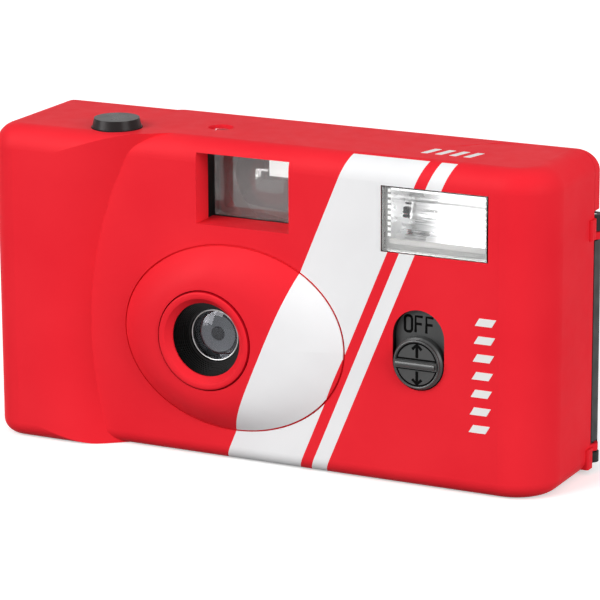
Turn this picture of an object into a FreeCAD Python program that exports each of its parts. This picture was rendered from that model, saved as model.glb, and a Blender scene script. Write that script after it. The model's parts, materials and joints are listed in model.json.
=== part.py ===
import FreeCAD, Part
import math
import os
import re
import Sketcher

# Compact 35 mm film camera with a built-in flash, in millimetres.
# X runs to the camera's left end as its user holds it, so to the right in the front view.
# The front faces -Y and the base is at Z = 0. Depths are measured backwards from the front face.

doc = FreeCAD.newDocument("compact_film_camera")
sheet = doc.addObject("Spreadsheet::Sheet", "sizes")

SIZES = [
    # case
    ("body_length", 116.0), ("body_height", 63.0), ("shell_depth", 24.3), ("face_depth", 14.0),
    ("wall", 1.8), ("corner_left", 6.0), ("corner_right", 9.0), ("top_round", 4.4), ("base_round", 3.0),
    ("seam_gap", 0.3), ("slip", 0.1), ("running", 0.05),
    ("grip_proud", 4.5), ("crease_radius", 76.0), ("crease_inset", 20.4), ("crease_z", 23.5),
    ("grip_flank", 19.6), ("cover_depth", 3.7), ("cover_low", 51.2), ("cover_corner", 1.5),
    ("cover_wall", 1.5), ("scoop_step", 2.6), ("scoop_offset", 11.7), ("scoop_half", 3.6),
    ("seam_line", 0.35),
    # lens and dome
    ("lens_offset", 9.4), ("lens_z", 24.8), ("dome_offset", 4.3), ("dome_half_length", 23.4),
    ("dome_half_height", 18.15), ("dome_proud", 4.1), ("dome_step", 0.25), ("ring_radius", 9.8),
    ("ring_bore", 7.3), ("ring_lip", 0.5), ("barrel_radius", 8.5),
    ("lens_radius", 5.2), ("lens_seat", 0.3), ("lens_thick", 2.0), ("barrel_flange", 10.3),
    ("barrel_back", 4.4), ("aperture_radius", 1.3), ("shutter_hole", 2.4),
    # finder
    ("finder_offset", 3.5), ("finder_width", 19.8), ("finder_low", 46.7), ("finder_high", 60.5),
    ("finder_collar", 7.4), ("finder_cheek", 5.0), ("collar_wall", 1.2), ("eyepiece_width", 12.2),
    ("eyepiece_height", 5.8), ("eyepiece_z", 55.3), ("bezel", 0.9), ("lamp_offset", 4.0),
    ("lamp_radius", 1.5), ("finder_glass", 3.2), ("finder_hollow", 16.0),
    # flash
    ("flash_inset", 11.2), ("flash_width", 21.8), ("flash_low", 45.4), ("flash_high", 58.1),
    ("flash_glass", 1.7), ("tube_radius", 1.3),
    # flash switch
    ("slot_inset", 25.2), ("slot_radius", 5.3), ("slot_z", 24.6), ("switch_travel", 5.0),
    ("slot_depth", 1.35), ("knob_radius", 5.05), ("knob_proud", 1.1), ("stem_half_width", 0.8),
    ("stem_half_height", 0.9), ("stem_drop", 1.1), ("foot_half_width", 3.2), ("foot_half_height", 7.0),
    ("foot_thick", 0.4),
    # shutter button and frame counter
    ("button_offset", 6.05), ("button_back", 4.2), ("button_radius", 4.9), ("button_top", 4.4),
    ("button_proud", 1.9),
    ("counter_offset", 5.6), ("counter_back", 12.45), ("counter_radius", 2.5),
    ("dial_offset", 8.5), ("dial_back", 14.0), ("dial_radius", 8.8), ("dial_thick", 0.6),
    # film drive
    ("film_z", 24.8), ("film_plane", 26.5), ("gate_width", 36.0), ("gate_height", 24.0),
    ("spool_inset", 13.8), ("spool_back", 15.6), ("spool_radius", 4.6), ("roll_radius", 10.8),
    ("drum_wall", 1.0), ("wheel_radius", 11.6), ("wheel_low", 51.9), ("wheel_thick", 4.5),
    ("sprocket_offset", 9.0), ("sprocket_radius", 6.05), ("tooth_height", 1.0),
    ("cartridge_inset", 16.0), ("cartridge_back", 16.6), ("cartridge_radius", 12.5),
    ("cartridge_height", 43.7), ("chamber_gap", 0.4),
    ("crank_disc", 6.8), ("crank_length", 10.2), ("fork_shaft", 1.5), ("spool_low", 5.2),
    ("spool_high", 44.6), ("spool_shaft", 2.0), ("spool_foot", 1.5), ("sprocket_low", 38.0),
    ("sprocket_thick", 2.0), ("sprocket_shaft", 1.3), ("dial_hub", 4.9), ("dial_shaft", 1.0),
    # chassis, shutter and board
    ("block_front", 6.6), ("chassis_high", 45.9), ("rear_lens_radius", 3.6), ("button_stem", 1.3),
    ("lever_offset", 16.5), ("lever_z", 41.0), ("blade_offset", 5.5), ("blade_z", 31.3),
    ("lever_pin", 0.6), ("board_gap", 2.1), ("board_low", 13.8), ("board_high", 44.0),
    ("capacitor_offset", 12.5),
    ("capacitor_back", 9.0), ("capacitor_z", 7.6), ("capacitor_radius", 4.8),
    ("capacitor_length", 30.0), ("screw_radius", 0.85), ("lug_bore", 1.3),
    # battery
    ("battery_offset", 0.85), ("battery_back", 10.5), ("battery_radius", 5.25),
    ("battery_length", 44.5), ("battery_slack", 0.9), ("tower_wall", 0.8),
    # rear door
    ("door_low", 0.8), ("door_high", 50.9), ("door_back", 31.0), ("door_wall", 1.6),
    ("door_corner", 3.8), ("door_edge", 3.0), ("hinge_inset", 0.8), ("hinge_back", 26.4),
    ("knuckle_radius", 1.6), ("hinge_pin", 0.7),
    ("latch_z", 25.0),
]
for row, (alias, value) in enumerate(SIZES, start=1):
    sheet.set("A%d" % row, alias)
    sheet.set("B%d" % row, str(value))
    sheet.setAlias("B%d" % row, alias)
doc.recompute()
ALIASES = {alias for alias, value in SIZES}

# Places worked out from the sizes: the chambers keep to the ends, and what lies between follows both
PLACES = {
    "spool_x": "(spool_inset - body_length / 2)",
    "cartridge_x": "(body_length / 2 - cartridge_inset)",
    "lens_x": "((spool_x + cartridge_x) / 2 - lens_offset)",
    "dome_x": "(lens_x + dome_offset)",
    "crease_x": "(crease_radius + crease_inset - body_length / 2)",
    "scoop_x": "(spool_x + scoop_offset)",
    "finder_left": "(lens_x - finder_offset)",
    "finder_right": "(finder_left + finder_width)",
    "lamp_x": "(finder_right + lamp_offset)",
    "flash_right": "(body_length / 2 - flash_inset)",
    "flash_left": "(flash_right - flash_width)",
    "slot_x": "(body_length / 2 - slot_inset)",
    "button_x": "((spool_x + lens_x) / 2 - button_offset)",
    "dial_x": "((spool_x + finder_left) / 2 + dial_offset)",
    "counter_x": "(dial_x + counter_offset)",
    "sprocket_x": "(lens_x - sprocket_offset)",
    "lever_x": "(lens_x - lever_offset)",
    "blade_x": "(lens_x - blade_offset)",
    "board_left": "(lens_x + barrel_flange + board_gap)",
    "capacitor_x": "(lens_x - capacitor_offset)",
    "battery_x": "((finder_right + collar_wall + cartridge_x - cartridge_radius - chamber_gap"
                 " - drum_wall) / 2 + battery_offset)",
    "hinge_x": "(body_length / 2 - hinge_inset)",
}


def spell(text):
    """An expression in the sheet's own terms, with the worked-out places written in full."""
    def term(word):
        name = word.group()
        if name in PLACES:
            return spell(PLACES[name])
        return "sizes." + name if name in ALIASES else name
    return re.sub(r"[a-z_]+", term, str(text))


def value_of(text):
    return float(sheet.evalExpression(spell(text)))


def bind(thing, prop, text):
    thing.setExpression(prop, spell(text))


def back(distance):
    """Y of a point this far behind the front face."""
    return "(%s - face_depth)" % distance


def place(thing, x="0", y="0", z="0"):
    for axis, text in zip("xyz", (x, y, z)):
        bind(thing, "Placement.Base." + axis, text)


def box(name, x0, x1, y0, y1, z0, z1):
    solid = doc.addObject("Part::Box", name)
    bind(solid, "Length", "(%s) - (%s)" % (x1, x0))
    bind(solid, "Width", "(%s) - (%s)" % (y1, y0))
    bind(solid, "Height", "(%s) - (%s)" % (z1, z0))
    place(solid, x0, y0, z0)
    return solid


TURN = {
    "x": FreeCAD.Rotation(FreeCAD.Vector(0, 1, 0), 90),
    "y": FreeCAD.Rotation(FreeCAD.Vector(1, 0, 0), -90),
    "z": FreeCAD.Rotation(),
}


def rod(name, radius, x, y, z, length, axis="z", top=None):
    """A cylinder, or a cone where a top radius is given, from its first end along the axis."""
    solid = doc.addObject("Part::Cylinder" if top is None else "Part::Cone", name)
    if top is None:
        bind(solid, "Radius", radius)
    else:
        bind(solid, "Radius1", radius)
        bind(solid, "Radius2", top)
    bind(solid, "Height", length)
    solid.Placement = FreeCAD.Placement(FreeCAD.Vector(), TURN[axis])
    place(solid, x, y, z)
    return solid


def fuse(name, *solids):
    result = doc.addObject("Part::MultiFuse", name)
    result.Shapes = list(solids)
    return result


def cut(name, base, *tools):
    result = doc.addObject("Part::Cut", name)
    result.Base = base
    result.Tool = tools[0] if len(tools) == 1 else fuse(name + "_tools", *tools)
    return result


def common(name, *solids):
    result = doc.addObject("Part::MultiCommon", name)
    result.Shapes = list(solids)
    return result


def group(name, *solids):
    result = doc.addObject("Part::Compound", name)
    result.Links = list(solids)
    return result


def origin_plane(body, role):
    return [plane for plane in body.Origin.OriginFeatures if plane.Role == role][0]


def outline(body, name, role, points, arcs=None, offset="0"):
    """A closed sketch. Each point is bound to its two sizes; arcs maps an edge to (radius, side)."""
    arcs = arcs or {}
    sketch = body.newObject("Sketcher::SketchObject", name)
    sketch.AttachmentSupport = [(origin_plane(body, role), "")]
    sketch.MapMode = "FlatFace"
    bind(sketch, "AttachmentOffset.Base.z", offset)
    spots = [FreeCAD.Vector(value_of(u), value_of(v), 0) for u, v in points]
    ends = []
    for index, start in enumerate(spots):
        finish = spots[(index + 1) % len(spots)]
        if index not in arcs:
            edge = sketch.addGeometry(Part.LineSegment(start, finish), False)
            ends.append((edge, 1, 2))
            continue
        radius, side = arcs[index]
        chord = finish - start
        reach = math.sqrt(max(value_of(radius) ** 2 - chord.Length ** 2 / 4, 0))
        normal = FreeCAD.Vector(-chord.y, chord.x, 0).normalize() * side
        centre = (start + finish) * 0.5 + normal * reach
        from_angle = math.atan2(start.y - centre.y, start.x - centre.x)
        to_angle = math.atan2(finish.y - centre.y, finish.x - centre.x)
        circle = Part.Circle(centre, FreeCAD.Vector(0, 0, 1), value_of(radius))
        if side > 0:
            edge = sketch.addGeometry(Part.ArcOfCircle(circle, from_angle, to_angle), False)
            ends.append((edge, 1, 2))
        else:
            edge = sketch.addGeometry(Part.ArcOfCircle(circle, to_angle, from_angle), False)
            ends.append((edge, 2, 1))
        number = sketch.addConstraint(Sketcher.Constraint("Radius", edge, value_of(radius)))
        bind(sketch, "Constraints[%d]" % number, radius)
    for index, (edge, first, last) in enumerate(ends):
        after, after_first, after_last = ends[(index + 1) % len(ends)]
        sketch.addConstraint(Sketcher.Constraint("Coincident", edge, last, after, after_first))
    for index, ((edge, first, last), (u, v)) in enumerate(zip(ends, points)):
        for kind, text in (("DistanceX", u), ("DistanceY", v)):
            number = sketch.addConstraint(
                Sketcher.Constraint(kind, -1, 1, edge, first, value_of(text)))
            bind(sketch, "Constraints[%d]" % number, text)
    return sketch


def new_body(name):
    return doc.addObject("PartDesign::Body", name)


def pad(body, sketch, length, name):
    feature = body.newObject("PartDesign::Pad", name)
    feature.Profile = sketch
    bind(feature, "Length", length)
    doc.recompute()
    return feature


def turned(name, points, arcs=None, x="0", z="0"):
    """A body turned about an axis that runs from front to back; points are (radius, y)."""
    body = new_body(name)
    sketch = outline(body, name + "_profile", "XY_Plane", points, arcs)
    feature = body.newObject("PartDesign::Revolution", name + "_turn")
    feature.Profile = sketch
    feature.ReferenceAxis = (sketch, ["V_Axis"])
    feature.Angle = 360
    place(body, x, "0", z)
    doc.recompute()
    return body


def round_edges(body, feature, radius, name, wanted):
    """Rounds the edges for which wanted(middle point, bounding box) is true."""
    chosen = []
    for number, edge in enumerate(feature.Shape.Edges, start=1):
        middle = edge.valueAt((edge.FirstParameter + edge.LastParameter) / 2)
        if wanted(middle, edge.BoundBox):
            chosen.append("Edge%d" % number)
    fillet = body.newObject("PartDesign::Fillet", name)
    fillet.Base = (feature, chosen)
    bind(fillet, "Radius", radius)
    doc.recompute()
    return fillet


def near(a, b):
    return abs(a - b) < 0.001


def rounded_block(name, x0, x1, y0, y1, z0, z1, corners, top="", base="", open_y=None):
    """A block with rounded vertical corners, and rounded top and base edges except at open_y.
    corners gives the radii at (x0, y0), (x1, y0), (x1, y1), (x0, y1), each a size or None."""
    spots = ((x0, y0, 1, 1), (x1, y0, -1, 1), (x1, y1, -1, -1), (x0, y1, 1, -1))
    points, arcs = [], {}
    for index, ((x, y, sx, sy), radius) in enumerate(zip(spots, corners)):
        if radius is None:
            points.append((x, y))
            continue
        along_x = ("%s + %d * (%s)" % (x, sx, radius), y)
        along_y = (x, "%s + %d * (%s)" % (y, sy, radius))
        arcs[len(points)] = (radius, 1)
        points.extend((along_y, along_x) if index in (0, 2) else (along_x, along_y))
    body = new_body(name)
    sketch = outline(body, name + "_outline", "XY_Plane", points, arcs, z0)
    feature = pad(body, sketch, "(%s) - (%s)" % (z1, z0), name + "_pad")
    skip = None if open_y is None else value_of(open_y)
    for level, radius in ((z1, top), (z0, base)):
        if radius:
            height = value_of(level)
            feature = round_edges(
                body, feature, radius, "%s_round_%d" % (name, int(height)),
                lambda spot, bounds: near(bounds.ZMin, height) and near(bounds.ZMax, height)
                and not (skip is not None and near(spot.y, skip)))
    return body


def least_gap(radius, wire, length, turns):
    """The least gap between a coil's turns, measured between points on its middle line."""
    steps = 36
    rise = (value_of(length) - 2 * value_of(wire)) / float(turns)
    points = [FreeCAD.Vector(value_of(radius) * math.cos(2 * math.pi * step / steps),
                             value_of(radius) * math.sin(2 * math.pi * step / steps),
                             rise * step / steps)
              for step in range(int(float(turns) * steps) + 1)]
    return min(points[first].distanceToPoint(points[second])
               for first in range(len(points))
               for second in range(first + steps // 2, len(points))) - 2 * value_of(wire)


def helix_spring(name, radius, wire, length, turns, x, y, z, axis="z"):
    """A coil spring: a round wire swept along a helix."""
    path = doc.addObject("Part::Helix", name + "_path")
    bind(path, "Height", "%s - 2 * (%s)" % (length, wire))
    bind(path, "Pitch", "(%s - 2 * (%s)) / %s" % (length, wire, turns))
    bind(path, "Radius", radius)
    section = doc.addObject("Part::Circle", name + "_wire")
    bind(section, "Radius", wire)
    section.Placement.Rotation = FreeCAD.Rotation(FreeCAD.Vector(1, 0, 0), 90)
    bind(section, "Placement.Base.x", radius)
    coil = doc.addObject("Part::Sweep", name)
    coil.Sections = [section]
    coil.Spine = (path, ["Edge1"])
    coil.Solid = True
    coil.Frenet = True
    coil.Placement = FreeCAD.Placement(FreeCAD.Vector(), TURN[axis])
    print("%-24s least gap to itself %.2f mm" % (name, least_gap(radius, wire, length, turns)))
    lift = {"x": (1, 0, 0), "y": (0, 1, 0), "z": (0, 0, 1)}[axis]
    place(coil, "%s + %d * (%s)" % (x, lift[0], wire), "%s + %d * (%s)" % (y, lift[1], wire),
          "%s + %d * (%s)" % (z, lift[2], wire))
    return coil


LEFT, RIGHT = "(-body_length / 2)", "(body_length / 2)"
FRONT, SEAM = back("0"), back("shell_depth")
INNER_LEFT, INNER_RIGHT = "(wall - body_length / 2)", "(body_length / 2 - wall)"
CEILING = "(body_height - wall)"
PARTS = []


def keep(thing, label):
    thing.Label = label
    PARTS.append(thing)
    return thing


# Front shell: moulded case with the grip, the lens dome and the windows
COVER_BACK = back("shell_depth + cover_depth")
SCOOP_MIDDLE = back("shell_depth + cover_depth - scoop_step / 2")
SCOOP_BACK = back("shell_depth + cover_depth - scoop_step")
SCOOP_CURVE = "scoop_half ^ 2 / scoop_step + scoop_step / 4"


def case_envelope():
    """The whole case up to the back of the top cover, with the thumb scoop beside the wheel."""
    body = new_body("case_envelope")
    points = [
        (LEFT, back("corner_left")), (LEFT + " + corner_left", FRONT),
        (RIGHT + " - corner_right", FRONT), (RIGHT, back("corner_right")),
        (RIGHT, COVER_BACK + " - cover_corner"), (RIGHT + " - cover_corner", COVER_BACK),
        ("scoop_x + scoop_half", COVER_BACK), ("scoop_x", SCOOP_MIDDLE),
        ("scoop_x - scoop_half", SCOOP_BACK), (LEFT + " + cover_corner", SCOOP_BACK),
        (LEFT, SCOOP_BACK + " - cover_corner")]
    arcs = {0: ("corner_left", 1), 2: ("corner_right", 1), 4: ("cover_corner", 1),
            6: (SCOOP_CURVE, 1), 7: (SCOOP_CURVE, -1), 9: ("cover_corner", 1)}
    feature = pad(body, outline(body, "case_outline", "XY_Plane", points, arcs), "body_height",
                  "case_pad")
    top, seam = value_of("body_height"), value_of(SEAM)
    feature = round_edges(body, feature, "top_round", "case_top_round",
                          lambda spot, bounds: near(bounds.ZMin, top))
    round_edges(body, feature, "base_round", "case_base_round",
                lambda spot, bounds: near(bounds.ZMax, 0) and bounds.YMin < seam - 1)
    return body


envelope = case_envelope()
doc.recompute()
front_slab = box("front_slab", LEFT + " - 5", RIGHT + " + 5", FRONT + " - 5", SEAM, "-5",
                 "body_height + 5")
outer = common("case_front", envelope, front_slab)
grip_front = back("-grip_proud")
grip_block = rounded_block("grip_block", LEFT, "0", grip_front, back("shell_depth - 1"), "0",
                           "body_height", ("corner_left", None, None, None), "top_round",
                           "base_round", back("shell_depth - 1"))
grip_form = new_body("grip_form")
FLANK_TURN = "acos(1 - grip_proud / grip_flank)"
FLANK_RUN = "(grip_flank * sin(%s))" % FLANK_TURN
form_sketch = outline(
    grip_form, "grip_flank_profile", "XY_Plane",
    [("-crease_radius - %s" % FLANK_RUN, grip_front), ("-crease_radius", FRONT),
     ("-crease_radius + shell_depth / tan(%s)" % FLANK_TURN, SEAM), ("-2 * crease_radius", SEAM),
     ("-2 * crease_radius", grip_front)],
    {0: ("grip_flank", 1)})
form_turn = grip_form.newObject("PartDesign::Revolution", "grip_form_turn")
form_turn.Profile = form_sketch
form_turn.ReferenceAxis = (form_sketch, ["V_Axis"])
form_turn.Angle = 360
place(grip_form, "crease_x", "0", "crease_z")
grip = common("grip", grip_block, grip_form)
doc.recompute()


def dome_sections():
    """Ellipses from the dome's outline to its round seat, on a parabolic rise."""
    steps = 7
    seat = value_of("ring_radius") + 0.6
    foot = value_of(FRONT) - value_of("dome_step")
    rise = value_of("dome_proud") - value_of("dome_step")
    wires = []
    for step in range(steps + 1):
        share = 1 - step / steps
        middle = value_of("lens_x") + share * (value_of("dome_x") - value_of("lens_x"))
        half_x = seat + 0.01 + share * (value_of("dome_half_length") - seat)
        half_z = seat + share * (value_of("dome_half_height") - seat)
        centre = FreeCAD.Vector(middle, foot - rise * (1 - share ** 2), value_of("lens_z"))
        wires.append(ellipse_wire(centre, half_x, half_z))
    return wires


def ellipse_wire(centre, half_x, half_z):
    curve = Part.Ellipse(centre + FreeCAD.Vector(half_x, 0, 0),
                         centre + FreeCAD.Vector(0, 0, half_z), centre)
    return Part.Wire([curve.toShape()])


def ellipse_slab(grow, y_front, y_rear):
    centre = FreeCAD.Vector(value_of("dome_x"), y_front, value_of("lens_z"))
    face = Part.Face(ellipse_wire(centre, value_of("dome_half_length") + grow,
                                  value_of("dome_half_height") + grow))
    return face.extrude(FreeCAD.Vector(0, y_rear - y_front, 0))


face_y = value_of(FRONT)
dome = doc.addObject("Part::Feature", "dome")
dome.Shape = ellipse_slab(0, face_y - value_of("dome_step"), face_y + 1).fuse(
    Part.makeLoft(dome_sections(), True, False))
groove = doc.addObject("Part::Feature", "dome_groove")
groove.Shape = ellipse_slab(value_of("seam_line"), face_y - 1, face_y + value_of("seam_line")).cut(
    ellipse_slab(0, face_y - 2, face_y + 1))

cavity = rounded_block("cavity_block", INNER_LEFT, INNER_RIGHT, back("wall"), back("shell_depth + 1"),
                       "wall", CEILING, ("corner_left - wall", "corner_right - wall", None, None),
                       "top_round - wall", "base_round - wall", back("shell_depth + 1"))
collar = box("finder_collar_walls", "finder_left - collar_wall", "finder_right + collar_wall",
             back("wall / 2"), back("finder_collar"), "finder_low - collar_wall",
             "finder_high + collar_wall / 4")
collar_cheek = box("finder_collar_cheek", "finder_left - 2 * collar_wall", "finder_left + slip",
                   back("finder_cheek"), back("finder_collar + 1"), "finder_low", "body_height")
ear_arms = []
for side, low in (("upper", "door_high - 5.4"), ("lower", "door_low + 2.9")):
    ear_arms.append(box("ear_arm_" + side, INNER_RIGHT, RIGHT, back("shell_depth - 2"),
                        back("hinge_back"), low, low + " + 1.4"))
    ear_arms.append(rod("ear_eye_" + side, "knuckle_radius - 0.2", "hinge_x", back("hinge_back"), low,
                        "1.4"))
ear_bumps = [
    rounded_block("ear_bump_" + side, "body_length / 2 - wall / 2", "body_length / 2 + 0.6",
                  back("shell_depth - 2.5"), SEAM, low, low + " + 4", (None, "0.5", "0.5", None))
    for side, low in (("upper", "door_high - 5"), ("lower", "door_low"))]
hollow = cut("hollow_case", fuse("case_form", outer, grip, dome), cavity, groove)
solid_case = fuse("case_with_walls", hollow, cut("collar_form", collar, collar_cheek), *ear_arms,
                  *ear_bumps)
SCREW_SPOTS = ((LEFT + " + 6", "5.6"), (RIGHT + " - 6.2", "6.2"), ("lens_x + 20.1", "20"),
               ("spool_x + 13.8", "20.4"))
finder_window = box("finder_window_cut", "finder_left", "finder_right", back("-1"),
                    back("finder_collar + 1"), "finder_low", "finder_high")
flash_window = box("flash_window_cut", "flash_left", "flash_right", back("-1"), back("wall + 1"),
                   "flash_low", "flash_high")
lens_hole = rod("lens_hole_cut", "barrel_radius + slip", "lens_x", back("-dome_proud - 2"), "lens_z",
                "dome_proud + wall + 3", "y")
ring_seat = rod("ring_seat_cut", "ring_radius + 0.18", "lens_x", back("-dome_proud - 2"), "lens_z",
                "2 + 1.2", "y")


def stadium(name, radius, front, rear):
    """A slot shape upright in the front view, from the switch's lower to its upper place."""
    depth = "(%s) - (%s)" % (rear, front)
    return fuse(name, rod(name + "_low", radius, "slot_x", front, "slot_z", depth, "y"),
                rod(name + "_high", radius, "slot_x", front, "slot_z + switch_travel", depth, "y"),
                box(name + "_middle", "slot_x - (%s)" % radius, "slot_x + %s" % radius, front, rear,
                    "slot_z", "slot_z + switch_travel"))


slot_cut = stadium("slot_cut", "slot_radius", back("-1"), back("wall + 1"))
BUTTON_Y = back("button_back")
button_cut = rod("button_cut", "button_radius + 0.15", "button_x", BUTTON_Y, "body_height - 3.7", "5")
counter_cut = rod("counter_cut", "counter_radius", "counter_x", back("counter_back"),
                  "body_height - wall - 1", "wall + 2")
dial_recess = rod("dial_recess_cut", "dial_radius + 0.3", "dial_x", back("dial_back"),
                  "body_height - wall - 1", "1.6")
BATTERY_Y, CARTRIDGE_Y = back("battery_back"), back("cartridge_back")
DOOR_HALF = "(battery_radius + 0.9)"
bay_cut = box("battery_door_cut", "battery_x - %s" % DOOR_HALF, "battery_x + %s" % DOOR_HALF,
              back("battery_back - %s" % DOOR_HALF), back("battery_back + %s + 1.6" % DOOR_HALF),
              "-1", "wall + 1")
bay_pivot = rod("battery_pivot_cut", "0.45 + running", "battery_x - %s - 1" % DOOR_HALF,
                back("battery_back + %s + 0.6" % DOOR_HALF), "wall / 2", "2 * %s + 2" % DOOR_HALF, "x")
crank_cut = rod("crank_cut", "crank_disc + 0.2", "cartridge_x", CARTRIDGE_Y, "-1", "wall + 2")
release_cut = rod("release_cut", "1.9 + slip", "sprocket_x",
                  back("film_plane - sprocket_radius - slip"), "-1", "wall + 2")
screw_cuts = []
for index, (x, distance) in enumerate(SCREW_SPOTS):
    screw_cuts.append(rod("screw_head_cut_%d" % index, "1.8", x, back(distance), "-1", "2.3"))
    screw_cuts.append(rod("screw_shank_cut_%d" % index, "1", x, back(distance), "0", "wall + 1"))
latch_cut = box("latch_cut", "-body_length / 2 - 1", "1 - body_length / 2", back("shell_depth - 9"),
                back("shell_depth + 1"), "latch_z - 10.5", "latch_z + 7")
lug_cut = box("lug_cut", "-body_length / 2 - 1", "-body_length / 2 + wall + 1",
              back("shell_depth - 5.2"), back("shell_depth - 2.8"), "41.8", "46.2")
pin_cuts = [rod("hinge_pin_cut_" + side, "hinge_pin + 0.01", "hinge_x", back("hinge_back"), low, "3")
            for side, low in (("upper", "door_high - 6"), ("lower", "door_low + 2.2"))]
ARC_X, ARC_RADIUS = "(body_length / 2 - 11.5)", "15.5"
arc_wire = rod("top_line_outer", ARC_RADIUS, ARC_X, back("8.1"), "body_height - seam_line", "2")
arc_core = rod("top_line_inner", ARC_RADIUS + " - seam_line", ARC_X, back("8.1"), "body_height - 2",
               "4")
arc_keep = box("top_line_range", ARC_X + " - %s + 0.6" % ARC_RADIUS, ARC_X, back("16.6"),
               back("shell_depth + 1"), "body_height - 1", "body_height + 3")
top_line = common("top_line", cut("top_line_ring", arc_wire, arc_core), arc_keep)
front_shell = cut("front_shell_final", solid_case, finder_window, flash_window, lens_hole, ring_seat,
                  slot_cut, button_cut, counter_cut, dial_recess, bay_cut, bay_pivot, crank_cut,
                  release_cut, latch_cut, lug_cut, top_line, *screw_cuts, *pin_cuts)
keep(front_shell, "front_shell")


# Rear top cover: the upper back, with the wheel slot, the eyepiece window and the lamp hole
cover_slab = box("cover_slab", LEFT + " - 5", RIGHT + " + 5", back("shell_depth + slip"),
                 COVER_BACK + " + 5", "cover_low", "body_height + 5")
COVER_INSIDE = back("shell_depth + cover_depth - cover_wall")
cover_inside = box("cover_inside", "scoop_x + scoop_half + 1", INNER_RIGHT, SEAM, COVER_INSIDE,
                   "cover_low + cover_wall", CEILING)
WHEEL_Y = back("spool_back")
wheel_slot = rod("wheel_slot", "wheel_radius + seam_gap", "spool_x", WHEEL_Y, "wheel_low - seam_gap",
                 "wheel_thick + 2 * seam_gap")
EYE_X = "(finder_left / 2 + finder_right / 2)"
EYE_LOW, EYE_HIGH = "(eyepiece_z - eyepiece_height / 2)", "(eyepiece_z + eyepiece_height / 2)"
eyepiece_window = box("eyepiece_window", EYE_X + " - eyepiece_width / 2 - bezel - slip",
                      EYE_X + " + eyepiece_width / 2 + bezel + slip", SEAM, COVER_BACK + " + 1",
                      EYE_LOW + " - bezel - slip", EYE_HIGH + " + bezel + slip")
lamp_hole = rod("lamp_hole", "lamp_radius + running", "lamp_x", SEAM, "eyepiece_z",
                "cover_depth + 1", "y")
keep(cut("rear_top_cover_form", common("cover_block", envelope, cover_slab), cover_inside,
         wheel_slot, eyepiece_window, lamp_hole), "rear_top_cover")
keep(rod("ready_lamp_form", "lamp_radius", "lamp_x", back("shell_depth - 2.5"), "eyepiece_z",
         "cover_depth + 2.9", "y"), "ready_lamp")

# Lens ring, barrel with its ribbed well, and the taking lens
RING_FRONT = "(-dome_proud - ring_lip)"
keep(turned("lens_ring_form", [
    ("ring_bore", back(RING_FRONT + " + 1.3")), ("ring_bore + 1.1", back(RING_FRONT + " + 0.1")),
    ("ring_bore + 1.5", back(RING_FRONT)), ("ring_radius - 0.6", back(RING_FRONT)),
    ("ring_radius", back(RING_FRONT + " + 0.6")), ("ring_radius", back("-2.9")),
    ("ring_bore", back("-2.9"))],
    {3: ("0.6", 1)}, "lens_x", "lens_z"), "lens_ring")
WELL_STEPS = 9


def barrel_profile():
    """The well's steps from its mouth down to the lens seat, then the barrel's outside."""
    mouth, seat = "(ring_bore + 0.3)", "(lens_radius + 0.35)"
    points = [("barrel_radius", back("-2.9 + slip")), (mouth, back("-2.9 + slip"))]
    for step in range(1, WELL_STEPS + 1):
        share = step / WELL_STEPS
        radius = "%s + %.4f * (%s - %s)" % (mouth, share, seat, mouth)
        depth = back("-2.9 + slip + %.4f * (2.9 + lens_seat)" % share)
        points.append((points[-1][0], depth))
        points.append((radius, depth))
    points.pop()
    points[-1] = (points[-1][0], back("lens_seat"))
    points += [
        ("lens_radius + running", back("lens_seat")),
        ("lens_radius + running", back("lens_seat + lens_thick")),
        ("aperture_radius + 2.2", back("lens_seat + lens_thick")),
        ("aperture_radius + 2.2", back("barrel_back")), ("barrel_flange", back("barrel_back")),
        ("barrel_flange", back("wall + slip")), ("barrel_radius", back("wall + slip"))]
    return points


keep(turned("lens_barrel_form", barrel_profile(), None, "lens_x", "lens_z"), "lens_barrel")
LENS_BACK = "(lens_seat + lens_thick - slip)"
keep(turned("front_lens_form", [
    ("0", back("lens_seat - 0.55")), ("lens_radius - 0.35", back("lens_seat + 0.45")),
    ("lens_radius", back("lens_seat + 0.45")), ("lens_radius", back(LENS_BACK)),
    ("0", back(LENS_BACK))],
    {0: ("12.5", 1)}, "lens_x", "lens_z"), "front_lens")

# Chassis: the black inner frame with the film chambers, light tunnel, battery bay and posts
GATE_LEFT, GATE_RIGHT = "(lens_x - gate_width / 2)", "(lens_x + gate_width / 2)"
GATE_LOW, GATE_HIGH = "(film_z - gate_height / 2)", "(film_z + gate_height / 2)"
RAILS = back("film_plane")
BLOCK_FRONT = back("block_front")
CHASSIS_LOW = "(wall + seam_gap)"
SPOOL_Y = back("spool_back")
CHAMBER = "(cartridge_radius + chamber_gap)"
CHAMBER_LOW = "(film_z - cartridge_height / 2 - seam_gap)"
CHAMBER_HIGH = "(film_z + cartridge_height / 2 + seam_gap)"
BAY = "(battery_radius + slip + running)"
BAY_TOP = "(wall + 1.6 + battery_length + battery_slack)"
TOWER_LEFT, TOWER_RIGHT = "(battery_x - %s - tower_wall)" % BAY, "(battery_x + %s + tower_wall)" % BAY
TOWER_FRONT = back("battery_back - %s - 0.7" % BAY)
TOWER_BACK = back("battery_back + %s + tower_wall" % BAY)
DRUM_RIGHT = "(spool_x + roll_radius + drum_wall)"
CHAMBER_LEFT = "(cartridge_x - %s - drum_wall)" % CHAMBER
MOUNT_HALF = "(barrel_flange + 1.7)"
PLATE_HALF = "(barrel_flange - 0.3)"
BARREL_REAR = back("barrel_back + slip")
DIAL_Y, SPROCKET_Y = back("dial_back"), back("film_plane - sprocket_radius - slip")
BUTTON_FOOT = "(chassis_high + 1.7)"
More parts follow.
